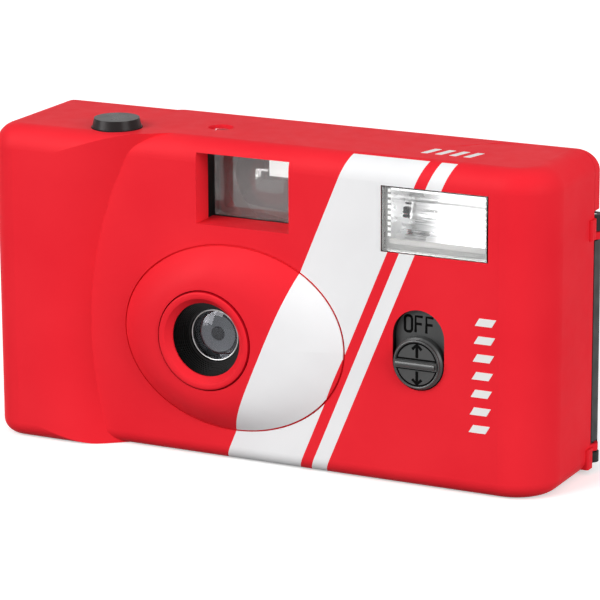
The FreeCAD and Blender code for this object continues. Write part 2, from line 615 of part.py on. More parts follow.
chassis_form = fuse(
    "chassis_form",
    box("gate_block", "spool_x + roll_radius", "cartridge_x - cartridge_radius", BLOCK_FRONT, RAILS,
        CHASSIS_LOW, "chassis_high"),
    rod("spool_drum", "roll_radius + drum_wall", "spool_x", SPOOL_Y, CHASSIS_LOW,
        "chassis_high - %s" % CHASSIS_LOW),
    box("spool_drum_back", "spool_x - roll_radius - drum_wall", DRUM_RIGHT,
        SPOOL_Y, RAILS, CHASSIS_LOW, "chassis_high"),
    rod("cartridge_drum", CHAMBER + " + drum_wall", "cartridge_x", CARTRIDGE_Y, "wall + slip",
        "%s + 0.65 - wall - slip" % CHAMBER_HIGH),
    box("cartridge_drum_back", CHAMBER_LEFT, "cartridge_x + %s + drum_wall" % CHAMBER,
        CARTRIDGE_Y, RAILS, "wall + slip", CHAMBER_HIGH + " + 0.65"),
    box("bay_tower", TOWER_LEFT, TOWER_RIGHT, TOWER_FRONT, TOWER_BACK, CHASSIS_LOW,
        BAY_TOP + " + 1.1"),
    box("lens_mount", "lens_x - " + MOUNT_HALF, "lens_x + " + MOUNT_HALF, BARREL_REAR, BLOCK_FRONT,
        "lens_z - " + MOUNT_HALF, "lens_z + " + MOUNT_HALF),
    box("button_post", "button_x - 1.8", "button_x + 6", BUTTON_Y + " - 1.9",
        "%s + 1.2" % BLOCK_FRONT, BUTTON_FOOT, BUTTON_FOOT + " + 1.6"),
    box("button_post_leg", "button_x + 2.6", "button_x + 6", BLOCK_FRONT, BLOCK_FRONT + " + 1.2",
        "chassis_high - 1", BUTTON_FOOT + " + 1.6"),
    rod("lever_boss", "1.6", "lever_x", BLOCK_FRONT + " - 0.5", "lever_z", "1", "y"),
    box("pawl_post", "spool_x + 8.3", "spool_x + 11.5", WHEEL_Y + " + 2", WHEEL_Y + " + 5",
        "chassis_high - 1", "wheel_low - 1.8"),
    *[rod("screw_boss_%d" % index, "2.1", x, back(distance), CHASSIS_LOW, "8")
      for index, (x, distance) in enumerate(SCREW_SPOTS)])
chassis_room = rounded_block(
    "chassis_room", INNER_LEFT + " + 0.2", INNER_RIGHT + " - 0.2", back("wall + 0.2"), RAILS,
    "wall + slip", CEILING + " - 0.2", ("corner_left - wall", "corner_right - wall", None, None),
    "top_round - wall", "base_round - wall", RAILS)
light_tunnel = doc.addObject("Part::Wedge", "light_tunnel")
for prop, text in (
        ("Xmin", "lens_x - 4.5"), ("Xmax", "lens_x + 4.5"), ("Zmin", "film_z - 3.6"),
        ("Zmax", "film_z + 3.6"), ("X2min", GATE_LEFT), ("X2max", GATE_RIGHT), ("Z2min", GATE_LOW),
        ("Z2max", GATE_HIGH), ("Ymin", BLOCK_FRONT + " + 2.4"), ("Ymax", RAILS)):
    bind(light_tunnel, prop, text)
pockets = [
    light_tunnel,
    box("gate_mouth", GATE_LEFT, GATE_RIGHT, RAILS + " - slip", RAILS + " + 1", GATE_LOW, GATE_HIGH),
    rod("rear_lens_seat", "rear_lens_radius + running", "lens_x", BLOCK_FRONT + " + 0.6", "lens_z",
        "1.9", "y"),
    rod("shutter_opening", "shutter_hole", "lens_x", BLOCK_FRONT + " - 1", "lens_z", "2", "y"),
    box("shutter_pocket", "lens_x - " + PLATE_HALF, "lens_x + " + PLATE_HALF, BARREL_REAR + " - 1",
        BLOCK_FRONT, "lens_z - " + PLATE_HALF, "lens_z + " + PLATE_HALF),
    box("lever_notch", "lever_x - 2", "lens_x - 3", BARREL_REAR + " - 1", BLOCK_FRONT,
        "lens_z + " + PLATE_HALF + " - 3", "lens_z + " + MOUNT_HALF + " + 1"),
    box("film_channel", GATE_LEFT + " - 3", "cartridge_x - cartridge_radius - 3", RAILS + " - 0.25",
        RAILS + " + 1", "film_z - 17.7", "film_z + 17.7"),
    rod("spool_chamber", "roll_radius", "spool_x", SPOOL_Y, "spool_low - seam_gap",
        "spool_high - spool_low + 2 * seam_gap"),
    box("spool_mouth", "spool_x - roll_radius", "spool_x + roll_radius", SPOOL_Y, RAILS + " + 1",
        "spool_low - seam_gap", "spool_high + seam_gap"),
    rod("spool_bearing", "spool_shaft + running", "spool_x", SPOOL_Y, "spool_high", "5"),
    rod("spool_foot_bearing", "spool_foot + running", "spool_x", SPOOL_Y, CHASSIS_LOW + " - 1",
        "spool_low"),
    rod("cartridge_chamber", CHAMBER, "cartridge_x", CARTRIDGE_Y, CHAMBER_LOW,
        "%s - %s" % (CHAMBER_HIGH, CHAMBER_LOW)),
    box("cartridge_mouth", "cartridge_x - " + CHAMBER, "cartridge_x + " + CHAMBER, CARTRIDGE_Y,
        RAILS + " + 1", CHAMBER_LOW, CHAMBER_HIGH),
    box("hinge_room", "hinge_x - 3.2", RIGHT, back("shell_depth - slip"), RAILS + " + 1", "0",
        "body_height"),
    box("door_side_room", LEFT, INNER_LEFT + " + 0.7", back("shell_depth - slip"), RAILS + " + 1",
        "0", "body_height"),
    box("door_rim_room", LEFT, RIGHT, back("shell_depth - slip"), RAILS + " + 1", "0",
        "door_low + door_wall + 0.2"),
    rod("spool_hub_room", "3.2", "cartridge_x", CARTRIDGE_Y, CHAMBER_HIGH + " - 1", "3"),
    rod("fork_bearing", "fork_shaft + running", "cartridge_x", CARTRIDGE_Y, "0", "5"),
    box("reflector_room", "flash_left - 1.4", "flash_right + 1.4", back("wall - 1"),
        back("wall + 4.4"), "flash_low - 0.9", "flash_high"),
    rod("battery_bay", BAY, "battery_x", BATTERY_Y, "0", BAY_TOP),
    box("collar_room", "finder_left - collar_wall - 0.2", "finder_right + collar_wall + 0.2",
        BLOCK_FRONT + " - 1", back("finder_collar + 0.3"), "finder_low - collar_wall - 0.2",
        "chassis_high + 1"),
    box("battery_hinge_room", "battery_x - %s" % DOOR_HALF, "battery_x + %s" % DOOR_HALF,
        back("battery_back - %s" % DOOR_HALF), back("battery_back + %s + 1.8" % DOOR_HALF),
        "0", CHASSIS_LOW + " + 1.2"),
    rod("capacitor_room", "capacitor_radius + seam_gap", "capacitor_x - seam_gap",
        back("capacitor_back"), "capacitor_z", "capacitor_length + 2 * seam_gap", "x"),
    box("capacitor_mouth", "capacitor_x - seam_gap", "capacitor_x + capacitor_length + seam_gap",
        BLOCK_FRONT + " - 1", back("capacitor_back"), "capacitor_z - capacitor_radius - seam_gap",
        "capacitor_z + capacitor_radius + seam_gap"),
    box("parts_room", "board_left + 0.4", TOWER_LEFT, BLOCK_FRONT + " - 1",
        "%s + 5.6" % BLOCK_FRONT, "board_low", "board_high"),
    rod("sprocket_room", "sprocket_radius + tooth_height + seam_gap", "sprocket_x", SPROCKET_Y,
        "sprocket_low - seam_gap", "sprocket_thick + 2 * seam_gap"),
    rod("sprocket_bearing", "sprocket_shaft + running", "sprocket_x", SPROCKET_Y, GATE_HIGH + " + 0.4",
        "chassis_high"),
    rod("release_guide", "1.3 + running", "sprocket_x", SPROCKET_Y, "0", "10.4"),
    rod("release_spring_room", "1.9 + slip", "sprocket_x", SPROCKET_Y, "0", "7.4"),
    rod("dial_bearing", "dial_shaft + running", "dial_x", DIAL_Y, "chassis_high - 3", "5"),
    rod("button_guide", "button_stem + slip", "button_x", BUTTON_Y, BUTTON_FOOT + " - 1", "5"),
    rod("lever_pivot_hole", "lever_pin + running", "lever_x", BARREL_REAR, "lever_z", "4", "y"),
    rod("blade_pivot_hole", "lever_pin + running", "blade_x", BARREL_REAR, "blade_z", "3.4", "y"),
    *[rod("screw_hole_%d" % index, "screw_radius + running", x, back(distance), "0", "8.6")
      for index, (x, distance) in enumerate(SCREW_SPOTS)]]
chassis_whole = cut("chassis_whole", common("chassis_trimmed", chassis_form, chassis_room), *pockets)
spool_zone = fuse(
    "spool_zone",
    box("spool_zone_low", LEFT, DRUM_RIGHT, FRONT, back("door_back"), "0", "chassis_high"),
    box("spool_zone_high", LEFT, DRUM_RIGHT, SPOOL_Y, back("door_back"), "0", "body_height"))
cartridge_zone = box("cartridge_zone", CHAMBER_LEFT, RIGHT, FRONT, back("door_back"), "0",
                     "body_height")
holder_zone = box("holder_zone", TOWER_LEFT, TOWER_RIGHT, TOWER_FRONT, TOWER_BACK, "0",
                  BAY_TOP + " + 1.1")
keep(cut("chassis_form_middle", chassis_whole, spool_zone, cartridge_zone, holder_zone), "chassis")
keep(common("spool_housing_form", chassis_whole, spool_zone), "spool_housing")
keep(common("cartridge_housing_form", chassis_whole, cartridge_zone), "cartridge_housing")
keep(common("battery_holder_form", chassis_whole, holder_zone), "battery_holder")

# Shutter: aperture disc, base plate, blade with its pivot, release lever and rear lens
keep(cut("aperture_disc_form",
         rod("aperture_disc_blank", "aperture_radius + 2.1", "lens_x",
             back("lens_seat + lens_thick + 0.2"), "lens_z", "0.3", "y"),
         rod("aperture_disc_hole", "aperture_radius", "lens_x", back("lens_seat"), "lens_z", "6", "y")),
     "aperture_disc")
keep(cut("shutter_plate_form",
         box("shutter_plate_blank", "lens_x - %s + slip" % PLATE_HALF, "lens_x + %s - slip" % PLATE_HALF,
             BLOCK_FRONT + " - 0.5", BLOCK_FRONT + " - 0.1", "lens_z - %s + slip" % PLATE_HALF,
             "lens_z + %s - slip - 3" % PLATE_HALF),
         rod("shutter_plate_hole", "shutter_hole", "lens_x", BARREL_REAR, "lens_z", "4", "y"),
         rod("shutter_plate_pivot", "lever_pin + slip", "blade_x", BARREL_REAR, "blade_z", "4", "y")),
     "shutter_plate")
BLADE_Y = BLOCK_FRONT + " - 0.95"
blade = new_body("shutter_blade_form")
blade_sketch = outline(
    blade, "blade_outline", "XZ_Plane",
    [("blade_x - 1.3", "blade_z - 0.8"), ("lens_x - 2.6", "lens_z - 2.4"), ("lens_x + 1.6", "lens_z - 2.8"),
     ("lens_x + 2.9", "lens_z + 1.2"), ("lens_x + 1.2", "lens_z + 2.9"), ("blade_x + 1.4", "blade_z + 0.5"),
     ("blade_x + 0.2", "blade_z + 1.5"), ("blade_x - 1.5", "blade_z + 0.6")],
    {1: ("3.1", 1), 2: ("3.1", 1), 3: ("3.1", 1)}, "-(%s + 0.3)" % BLADE_Y)
pad(blade, blade_sketch, "0.3", "blade_pad")
keep(cut("shutter_blade_cut", blade,
         rod("blade_pivot_bore", "lever_pin + running", "blade_x", BARREL_REAR, "blade_z", "4", "y")),
     "shutter_blade")
LEVER_Y = BLOCK_FRONT + " - 1.6"
lever = new_body("release_lever_form")
lever_sketch = outline(
    lever, "lever_outline", "XZ_Plane",
    [("lever_x - 1.8", "lever_z - 1"), ("lever_x + 1", "lever_z - 2"),
     ("blade_x - 3.2", "blade_z + 1.6"), ("blade_x - 2.2", "blade_z + 2.6"),
     ("lever_x + 1.8", "lever_z + 1"), ("lever_x - 1", "lever_z + 2"),
     ("button_x + 1.2", BUTTON_FOOT + " - 0.4"),
     ("button_x - 1.2", BUTTON_FOOT + " - 0.4"), ("button_x - 1.2", BUTTON_FOOT + " - 1.4")],
    None, "-(%s + 0.5)" % LEVER_Y)
pad(lever, lever_sketch, "0.5", "lever_pad")
keep(cut("release_lever_cut", lever,
         rod("lever_pivot_bore", "lever_pin + running", "lever_x", BARREL_REAR, "lever_z", "4", "y")),
     "release_lever")
keep(group("shutter_pins_form",
           rod("lever_pin_form", "lever_pin", "lever_x", BARREL_REAR + " + 0.2", "lever_z", "3.5", "y"),
           rod("blade_pin_form", "lever_pin", "blade_x", BARREL_REAR + " + 0.2", "blade_z", "2.9", "y")),
     "shutter_pins")
keep(turned("rear_lens_form", [
    ("0", back("block_front + 0.9")), ("rear_lens_radius", back("block_front + 1.2")),
    ("rear_lens_radius", back("block_front + 2.2")), ("0", back("block_front + 2.2"))],
    {0: ("18", 1)}, "lens_x", "lens_z"), "rear_lens")

# Finder: black tunnel with a front lens and an eyepiece
finder_form = fuse(
    "finder_form",
    box("finder_tube", "finder_left - collar_wall + slip", "finder_right + collar_wall - slip",
        back("finder_collar + slip"), back("shell_depth - 2"), "chassis_high + 0.3", "finder_high - 0.4"),
    box("finder_cheek_form", "finder_left - collar_wall + slip", "finder_left - running",
        back("finder_cheek + slip"), back("finder_collar + 1"), "finder_low + slip", "finder_high - 0.4"),
    box("finder_bezel", EYE_X + " - eyepiece_width / 2 - bezel", EYE_X + " + eyepiece_width / 2 + bezel",
        back("shell_depth - 3"), COVER_BACK + " + 0.3", EYE_LOW + " - bezel", EYE_HIGH + " + bezel"))
finder_taper = doc.addObject("Part::Wedge", "finder_taper")
for prop, text in (
        ("Xmin", "finder_left + 0.8"), ("Xmax", "finder_right - 0.8"), ("Zmin", "finder_low + 0.8"),
        ("Zmax", "finder_high - 1.4"), ("X2min", EYE_X + " - eyepiece_width / 2 - 0.6"),
        ("X2max", EYE_X + " + eyepiece_width / 2 + 0.6"), ("Z2min", EYE_LOW + " - 0.6"),
        ("Z2max", EYE_HIGH + " + 0.6"), ("Ymin", back("finder_collar + 1.5")),
        ("Ymax", back("shell_depth - 1"))):
    bind(finder_taper, prop, text)
keep(cut("finder_frame_form", finder_form, finder_taper,
         box("finder_lens_seat", "finder_left", "finder_right - slip", back("finder_collar - 1"),
             back("finder_collar + finder_glass + 0.4"), "finder_low + slip", "finder_high - 0.9"),
         box("eyepiece_opening", EYE_X + " - eyepiece_width / 2", EYE_X + " + eyepiece_width / 2",
             back("shell_depth - 4"), COVER_BACK + " + 1", EYE_LOW, EYE_HIGH),
         box("eyepiece_seat", EYE_X + " - eyepiece_width / 2 - 0.6", EYE_X + " + eyepiece_width / 2 + 0.6",
             back("shell_depth - 4"), back("shell_depth + 1.6"), EYE_LOW + " - 0.6", EYE_HIGH + " + 0.6")),
     "finder_frame")
lens_hollow = doc.addObject("Part::Sphere", "finder_lens_hollow")
bind(lens_hollow, "Radius", "finder_hollow")
place(lens_hollow, EYE_X, back("finder_collar + 1.3 + finder_hollow"),
      "(finder_low + finder_high) / 2")
keep(cut("finder_front_lens_form",
         box("finder_lens_blank", "finder_left + running", "finder_right - 2 * slip",
             back("finder_collar + slip + 0.2"), back("finder_collar + slip + 0.2 + finder_glass"),
             "finder_low + 2 * slip", "finder_high - 1"), lens_hollow), "finder_front_lens")
keep(box("eyepiece_lens_form", EYE_X + " - eyepiece_width / 2 - 0.5",
         EYE_X + " + eyepiece_width / 2 + 0.5", back("shell_depth + 0.2"), back("shell_depth + 1.5"),
         EYE_LOW + " - 0.5", EYE_HIGH + " + 0.5"), "eyepiece_lens")

# Flash: window, reflector, tube and the board with its parts
FLASH_Z = "(flash_low / 2 + flash_high / 2)"
keep(box("flash_lens_form", "flash_left + 0.35", "flash_right - 0.2", back("-0.2"),
         back("flash_glass"), "flash_low + 0.25", "flash_high - 0.2"), "flash_lens")


def reflector_wedge(name, grow, front, rear):
    """The tapering bowl, wide at the window and narrow behind the tube."""
    bowl = doc.addObject("Part::Wedge", name)
    for prop, text in (
            ("Xmin", "flash_left + 0.9 - %s" % grow), ("Xmax", "flash_right - 0.9 + %s" % grow),
            ("Zmin", "flash_low + 1.3 - %s" % grow), ("Zmax", "flash_high - 1 + %s" % grow),
            ("X2min", "flash_left + 2.4 - %s" % grow), ("X2max", "flash_right - 2.4 + %s" % grow),
            ("Z2min", "%s - 1.9 - %s" % (FLASH_Z, grow)), ("Z2max", "%s + 1.9 + %s" % (FLASH_Z, grow)),
            ("Ymin", front), ("Ymax", rear)):
        bind(bowl, prop, text)
    return bowl


TUBE_Y = back("wall + 6.2")
keep(cut("flash_reflector_form",
         fuse("reflector_outside",
              reflector_wedge("reflector_shell", "0.4", back("wall + slip"), back("wall + 8.4")),
              box("reflector_flange", "flash_left - 0.6", "flash_right + 0.6", back("wall + slip"),
                  back("wall + slip + 0.5"), "flash_low - 0.5", "flash_high + 0.8")),
         reflector_wedge("reflector_hollow", "0", back("wall"), back("wall + 8")),
         rod("reflector_tube_bore", "tube_radius + 2 * running", "flash_left", TUBE_Y, FLASH_Z,
             "flash_right - flash_left", "x")), "flash_reflector")
keep(rod("flash_tube_form", "tube_radius", "flash_left - 0.2", TUBE_Y, FLASH_Z,
         "flash_right - flash_left + 0.4", "x"), "flash_tube")
BOARD_FRONT, BOARD_BACK = back("wall + 1.3"), back("wall + 2.4")
keep(fuse("flash_board_form",
          box("board_sheet", "board_left", "slot_x + 0.9", BOARD_FRONT, BOARD_BACK, "board_low",
              "board_high"),
          box("board_resistor", "board_left + 13", "board_left + 16.5", BOARD_FRONT + " - 0.8",
              BOARD_FRONT, "board_low + 6", "board_low + 7.6"),
          box("board_driver", "board_left + 13", "board_left + 17", BOARD_FRONT + " - 0.9", BOARD_FRONT,
              "board_high - 8", "board_high - 4.6")), "flash_board")
keep(rod("flash_capacitor_form", "capacitor_radius", "capacitor_x", back("capacitor_back"),
         "capacitor_z", "capacitor_length", "x"), "flash_capacitor")
CORE_LEFT, CORE_RIGHT = "(board_left + 1.2)", "(%s - 1.9)" % TOWER_LEFT
keep(fuse("flash_transformer_form",
          box("transformer_core", CORE_LEFT, CORE_RIGHT, BOARD_BACK, BOARD_BACK + " + 6",
              "board_high - 11", "board_high - 3"),
          rod("transformer_winding", "2.7", "(%s + %s) / 2" % (CORE_LEFT, CORE_RIGHT),
              BOARD_BACK + " + 3", "board_high - 12", "10")), "flash_transformer")
keep(rod("trigger_coil_form", "2.4", CORE_LEFT + " + 0.2", BOARD_BACK + " + 2.4", "board_low + 5.5",
         "%s - %s - 1" % (CORE_RIGHT, CORE_LEFT), "x"), "trigger_coil")

# Battery: contacts and the hinged door in the base
keep(box("battery_contact_form", "battery_x - 3.6", "battery_x + 3.6", back("battery_back - 3.4"),
         back("battery_back + 3.4"), BAY_TOP + " - 0.5", BAY_TOP + " - 0.1"), "battery_contact")
BATTERY_HINGE = "battery_back + %s + 0.6" % DOOR_HALF
keep(fuse("battery_door_form",
          box("battery_door_plate", "battery_x - %s + 0.15" % DOOR_HALF,
              "battery_x + %s - 0.15" % DOOR_HALF, back("battery_back - %s + 0.2" % DOOR_HALF),
              back(BATTERY_HINGE), "0.15", "wall - 0.15"),
          rod("battery_door_barrel", "0.75", "battery_x - %s + 0.15" % DOOR_HALF, back(BATTERY_HINGE),
              "wall / 2", "2 * %s - 0.3" % DOOR_HALF, "x"),
          rod("battery_door_stubs", "0.45", "battery_x - %s - 0.8" % DOOR_HALF, back(BATTERY_HINGE),
              "wall / 2", "2 * %s + 1.6" % DOOR_HALF, "x"),
          rod("battery_spring_seat", "2", "battery_x", BATTERY_Y, "wall - 0.3", "0.5")),
     "battery_door")
keep(helix_spring("battery_spring_form", "2.9", "0.2", "5", "3", "battery_x", BATTERY_Y,
                  "wall - 0.1"), "battery_spring")

# Flash switch: fixed plate behind the slot and the sliding knob
STEM_Z = "(slot_z - stem_drop)"
keep(cut("switch_plate_form",
         fuse("switch_plate_blank",
              stadium("switch_floor", "slot_radius - 0.12", back("slot_depth"), back("wall + 0.6")),
              box("switch_flange", "slot_x - slot_radius - 1.4", "slot_x + slot_radius + 1.4",
                  back("wall + slip"), back("wall + 0.7"), "slot_z - slot_radius - 2",
                  "slot_z + switch_travel + slot_radius + 2")),
         box("switch_track", "slot_x - stem_half_width - slip", "slot_x + stem_half_width + slip",
             back("0"), back("wall + 1"), STEM_Z + " - stem_half_height - slip",
             STEM_Z + " + switch_travel + stem_half_height + slip")), "switch_plate")
FOOT_FRONT = back("wall + 0.8")
keep(fuse("flash_switch_form",
          rod("switch_knob_disc", "knob_radius - 0.35", "slot_x", back("0.25 - knob_proud"), "slot_z",
              "slot_depth - slip + knob_proud - 0.25", "y"),
          rod("switch_knob_edge", "knob_radius - 0.35", "slot_x", back("0.35 - knob_proud + 0.25"),
              "slot_z", "0.35", "y", "knob_radius"),
          rod("switch_knob_skirt", "knob_radius", "slot_x", back("0.95 - knob_proud"), "slot_z",
              "slot_depth - slip + knob_proud - 0.95", "y"),
          box("switch_ridge", "slot_x - knob_radius + 0.7", "slot_x + knob_radius - 0.7",
              back("-knob_proud - 0.35"), back("0.3"), "slot_z - 0.75", "slot_z + 0.75"),
          box("switch_stem", "slot_x - stem_half_width", "slot_x + stem_half_width",
              back("slot_depth - 0.5"), FOOT_FRONT + " + foot_thick / 2",
              STEM_Z + " - stem_half_height", STEM_Z + " + stem_half_height"),
          box("switch_foot", "slot_x - foot_half_width", "slot_x + foot_half_width", FOOT_FRONT,
              FOOT_FRONT + " + foot_thick", "slot_z - foot_half_height",
              "slot_z + foot_half_height")), "flash_switch_knob")

# Shutter button with its stem and spring
keep(fuse("shutter_button_form",
          rod("button_skirt", "button_radius", "button_x", BUTTON_Y, "body_height - 1.6", "1.8"),
          rod("button_cone", "button_radius - 0.1", "button_x", BUTTON_Y, "body_height + 0.2",
              "button_proud - 0.2", "z", "button_top"),
          rod("button_stem_form", "button_stem", "button_x", BUTTON_Y, BUTTON_FOOT,
              "body_height - %s" % BUTTON_FOOT)), "shutter_button")
keep(helix_spring("button_spring_form", "1.85", "0.22", "body_height - 1.7 - %s - 1.7" % BUTTON_FOOT,
                  "5", "button_x", BUTTON_Y, BUTTON_FOOT + " + 1.65"), "button_spring")

# Frame counter: window, numbered dial and its shaft
keep(rod("counter_window_form", "counter_radius - running", "counter_x", back("counter_back"),
         "body_height - 1.15", "0.3"), "counter_window")
DIAL_LOW = "(body_height - wall - dial_thick + 0.35)"
keep(fuse("counter_dial_form",
          rod("dial_disc", "dial_radius", "dial_x", DIAL_Y, DIAL_LOW, "dial_thick"),
          rod("dial_hub_form", "dial_hub", "dial_x", DIAL_Y, DIAL_LOW + " - 0.75", "0.8"),
          rod("dial_axle", "dial_shaft", "dial_x", DIAL_Y, "chassis_high - 2.8",
              "%s - chassis_high + 3" % DIAL_LOW)), "counter_dial")

# Film drive: take-up spool, thumb wheel with its ratchet, and the film sprocket
keep(cut("takeup_spool_form",
         fuse("takeup_spool_blank",
              rod("spool_core", "spool_radius", "spool_x", SPOOL_Y, "spool_low",
                  "spool_high - spool_low"),
              rod("spool_shaft_form", "spool_shaft", "spool_x", SPOOL_Y, "spool_high - 1",
                  "wheel_low + wheel_thick - 0.6 - spool_high + 1"),
              rod("spool_foot_form", "spool_foot", "spool_x", SPOOL_Y, "wall + seam_gap + 0.2",
                  "spool_low")),
         box("leader_slot", "spool_x - 0.6", "spool_x + 0.6", SPOOL_Y + " + 1.2",
             SPOOL_Y + " + spool_radius + 1", "film_z - 14", "film_z + 14")), "takeup_spool")


def toothed(name, radius, height, count, tooth_width, low, thick, x, y):
    """A disc with rounded-off teeth spaced evenly around it."""
    body = new_body(name + "_body")
    disc_sketch = body.newObject("Sketcher::SketchObject", name + "_circle")
    disc_sketch.AttachmentSupport = [(origin_plane(body, "XY_Plane"), "")]
    disc_sketch.MapMode = "FlatFace"
    disc_sketch.addGeometry(Part.Circle(FreeCAD.Vector(), FreeCAD.Vector(0, 0, 1), value_of(radius)),
                            False)
    disc_sketch.addConstraint(Sketcher.Constraint("Coincident", 0, 3, -1, 1))
    bind(disc_sketch, "Constraints[%d]" % disc_sketch.addConstraint(
        Sketcher.Constraint("Radius", 0, value_of(radius))), radius)
    pad(body, disc_sketch, thick, name + "_disc")
    tooth = pad(body, outline(body, name + "_tooth_outline", "XY_Plane", [
        ("%s - 0.4" % radius, "-(%s) / 2" % tooth_width),
        ("%s + %s" % (radius, height), "-(%s) / 6" % tooth_width),
        ("%s + %s" % (radius, height), "(%s) / 6" % tooth_width),
        ("%s - 0.4" % radius, "(%s) / 2" % tooth_width)]), thick, name + "_tooth")
    pattern = body.newObject("PartDesign::PolarPattern", name + "_teeth")
    pattern.Originals = [tooth]
    pattern.Axis = (disc_sketch, ["N_Axis"])
    pattern.Angle = 360
    pattern.Occurrences = count
    body.Tip = pattern
    place(body, x, y, low)
    doc.recompute()
    return body


wheel = toothed("thumb_wheel", "wheel_radius - 0.5", "0.5", 60, "0.9", "wheel_low", "wheel_thick",
                "spool_x", WHEEL_Y)
ratchet = toothed("ratchet_ring", "6.6", "0.7", 24, "1.2", "wheel_low - 0.8", "1", "spool_x", WHEEL_Y)
keep(cut("advance_wheel_form", fuse("advance_wheel_blank", wheel, ratchet),
         rod("wheel_bore", "spool_shaft + 0.01", "spool_x", WHEEL_Y, "wheel_low - 2",
             "wheel_thick + 1.4")), "advance_wheel")
keep(fuse("wheel_pawl_form",
          box("pawl_leaf", "spool_x + 8.3", "spool_x + 11.5", WHEEL_Y + " + 2", WHEEL_Y + " + 5",
              "wheel_low - 1.75", "wheel_low - 1.45"),
          box("pawl_arm", "spool_x + 8.4", "spool_x + 9.2", WHEEL_Y + " - 4", WHEEL_Y + " + 2.2",
              "wheel_low - 1.75", "wheel_low - 1.45"),
          box("pawl_tip", "spool_x + 7.75", "spool_x + 9.2", WHEEL_Y + " - 4", WHEEL_Y + " - 3.4",
              "wheel_low - 1.75", "wheel_low - 0.35")), "wheel_pawl")
sprocket_wheel = toothed("sprocket", "sprocket_radius", "tooth_height", 8, "1.6", "sprocket_low",
                         "sprocket_thick", "sprocket_x", SPROCKET_Y)
keep(fuse("film_sprocket_form", sprocket_wheel,
          rod("sprocket_axle", "sprocket_shaft", "sprocket_x", SPROCKET_Y, GATE_HIGH + " + 0.5",
              "%s - 0.3 - %s - 0.5" % (DIAL_LOW, GATE_HIGH))), "film_sprocket")

# Rewind: fork inside the cartridge chamber, disc and fold-out crank in the base
keep(fuse("rewind_fork_form",
          rod("fork_shaft_form", "fork_shaft", "cartridge_x", CARTRIDGE_Y, "1.35",
              CHAMBER_LOW + " + 1.4 - 1.35"),
          box("fork_blade", "cartridge_x - 2.1", "cartridge_x + 2.1", CARTRIDGE_Y + " - 0.5",
              CARTRIDGE_Y + " + 0.5", CHAMBER_LOW + " + 0.5", CHAMBER_LOW + " + 3.8")), "rewind_fork")
CRANK_X = "(cartridge_x - crank_disc + 1.7)"
keep(cut("rewind_disc_form",
         rod("rewind_disc_blank", "crank_disc", "cartridge_x", CARTRIDGE_Y, "0.2", "1.5"),
         rod("fork_socket", "fork_shaft + 0.01", "cartridge_x", CARTRIDGE_Y, "1.3", "2"),
         box("crank_recess", CRANK_X + " - 1", "cartridge_x + crank_disc + 1", CARTRIDGE_Y + " - 1.6",
             CARTRIDGE_Y + " + 1.6", "-1", "1.3"),
         rod("crank_pin_hole", "0.35", CRANK_X, CARTRIDGE_Y + " - 3", "0.65", "6", "y")),
     "rewind_disc")
keep(cut("rewind_crank_form",
         fuse("rewind_crank_blank",
              box("crank_arm", CRANK_X, CRANK_X + " + crank_length", CARTRIDGE_Y + " - 1.4",
                  CARTRIDGE_Y + " + 1.4", "0.25", "1"),
              rod("crank_eye", "0.6", CRANK_X, CARTRIDGE_Y + " - 1.4", "0.65", "2.8", "y")),
         rod("crank_eye_bore", "0.35", CRANK_X, CARTRIDGE_Y + " - 3", "0.65", "6", "y")),
     "rewind_crank")
keep(rod("crank_pin_form", "0.3", CRANK_X, CARTRIDGE_Y + " - 2.8", "0.65", "5.6", "y"), "crank_pin")
keep(fuse("rewind_release_form",
          rod("release_head", "1.9", "sprocket_x", SPROCKET_Y, "0.2", "2.6"),
          rod("release_stem", "1.3", "sprocket_x", SPROCKET_Y, "0.2", "8.6")), "rewind_release_button")
keep(helix_spring("release_spring_form", "1.6", "0.18", "4.4", "5", "sprocket_x", SPROCKET_Y, "2.9"),
     "release_spring")

# Rear door with its hinge, film window, pressure plate and seals
DOOR_BACK = back("door_back")
DOOR_FRONT = back("shell_depth + 0.4")
door_block = new_body("door_block")
door_sketch = outline(
    door_block, "door_outline", "XY_Plane",
    [(LEFT, DOOR_FRONT), (RIGHT, DOOR_FRONT), (RIGHT, DOOR_BACK + " - door_corner"),
     (RIGHT + " - door_corner", DOOR_BACK), (LEFT + " + door_corner", DOOR_BACK),
     (LEFT, DOOR_BACK + " - door_corner")],
    {2: ("door_corner", 1), 4: ("door_corner", 1)}, "door_low")
door_pad = pad(door_block, door_sketch, "door_high - door_low", "door_pad")
door_rear = value_of(DOOR_BACK)
door_levels = (value_of("door_low"), value_of("door_high"))
round_edges(door_block, door_pad, "door_edge", "door_round",
            lambda spot, bounds: any(near(bounds.ZMin, level) and near(bounds.ZMax, level)
                                     for level in door_levels)
            and bounds.YMax > door_rear - 0.01 and bounds.XLength > 1)
DOOR_IN = back("door_back - door_wall")
door_inside = rounded_block(
    "door_inside", LEFT + " + door_wall", RIGHT + " - door_wall", DOOR_FRONT + " - 1", DOOR_IN,
    "door_low + door_wall", "door_high - door_wall",
    (None, None, "door_corner - door_wall", "door_corner - door_wall"))
hinge_gaps = [box("hinge_gap_" + side, "hinge_x - 1.9", RIGHT + " + 3", DOOR_FRONT + " - 1",
                  back("hinge_back + 1.9"), low, high)
              for side, low, high in (("upper", "door_high - 5.7", "door_high + 1"),
                                      ("lower", "door_low - 1", "door_low + 4.6"))]
knuckles, webs = [], []
for side, low, top in (("upper", "door_high - 3.7", "door_high - 0.6"),
                       ("lower", "door_low + 0.6", "door_low + 2.6")):
    knuckles.append(rod("knuckle_" + side, "knuckle_radius", "hinge_x", back("hinge_back"), low,
                        "%s - (%s)" % (top, low)))
    webs.append(box("knuckle_web_" + side, "hinge_x - 2.6", RIGHT, back("hinge_back"), DOOR_BACK,
                    low, top))
knuckles.append(common("knuckle_webs", door_block, fuse("knuckle_web_blocks", *webs)))
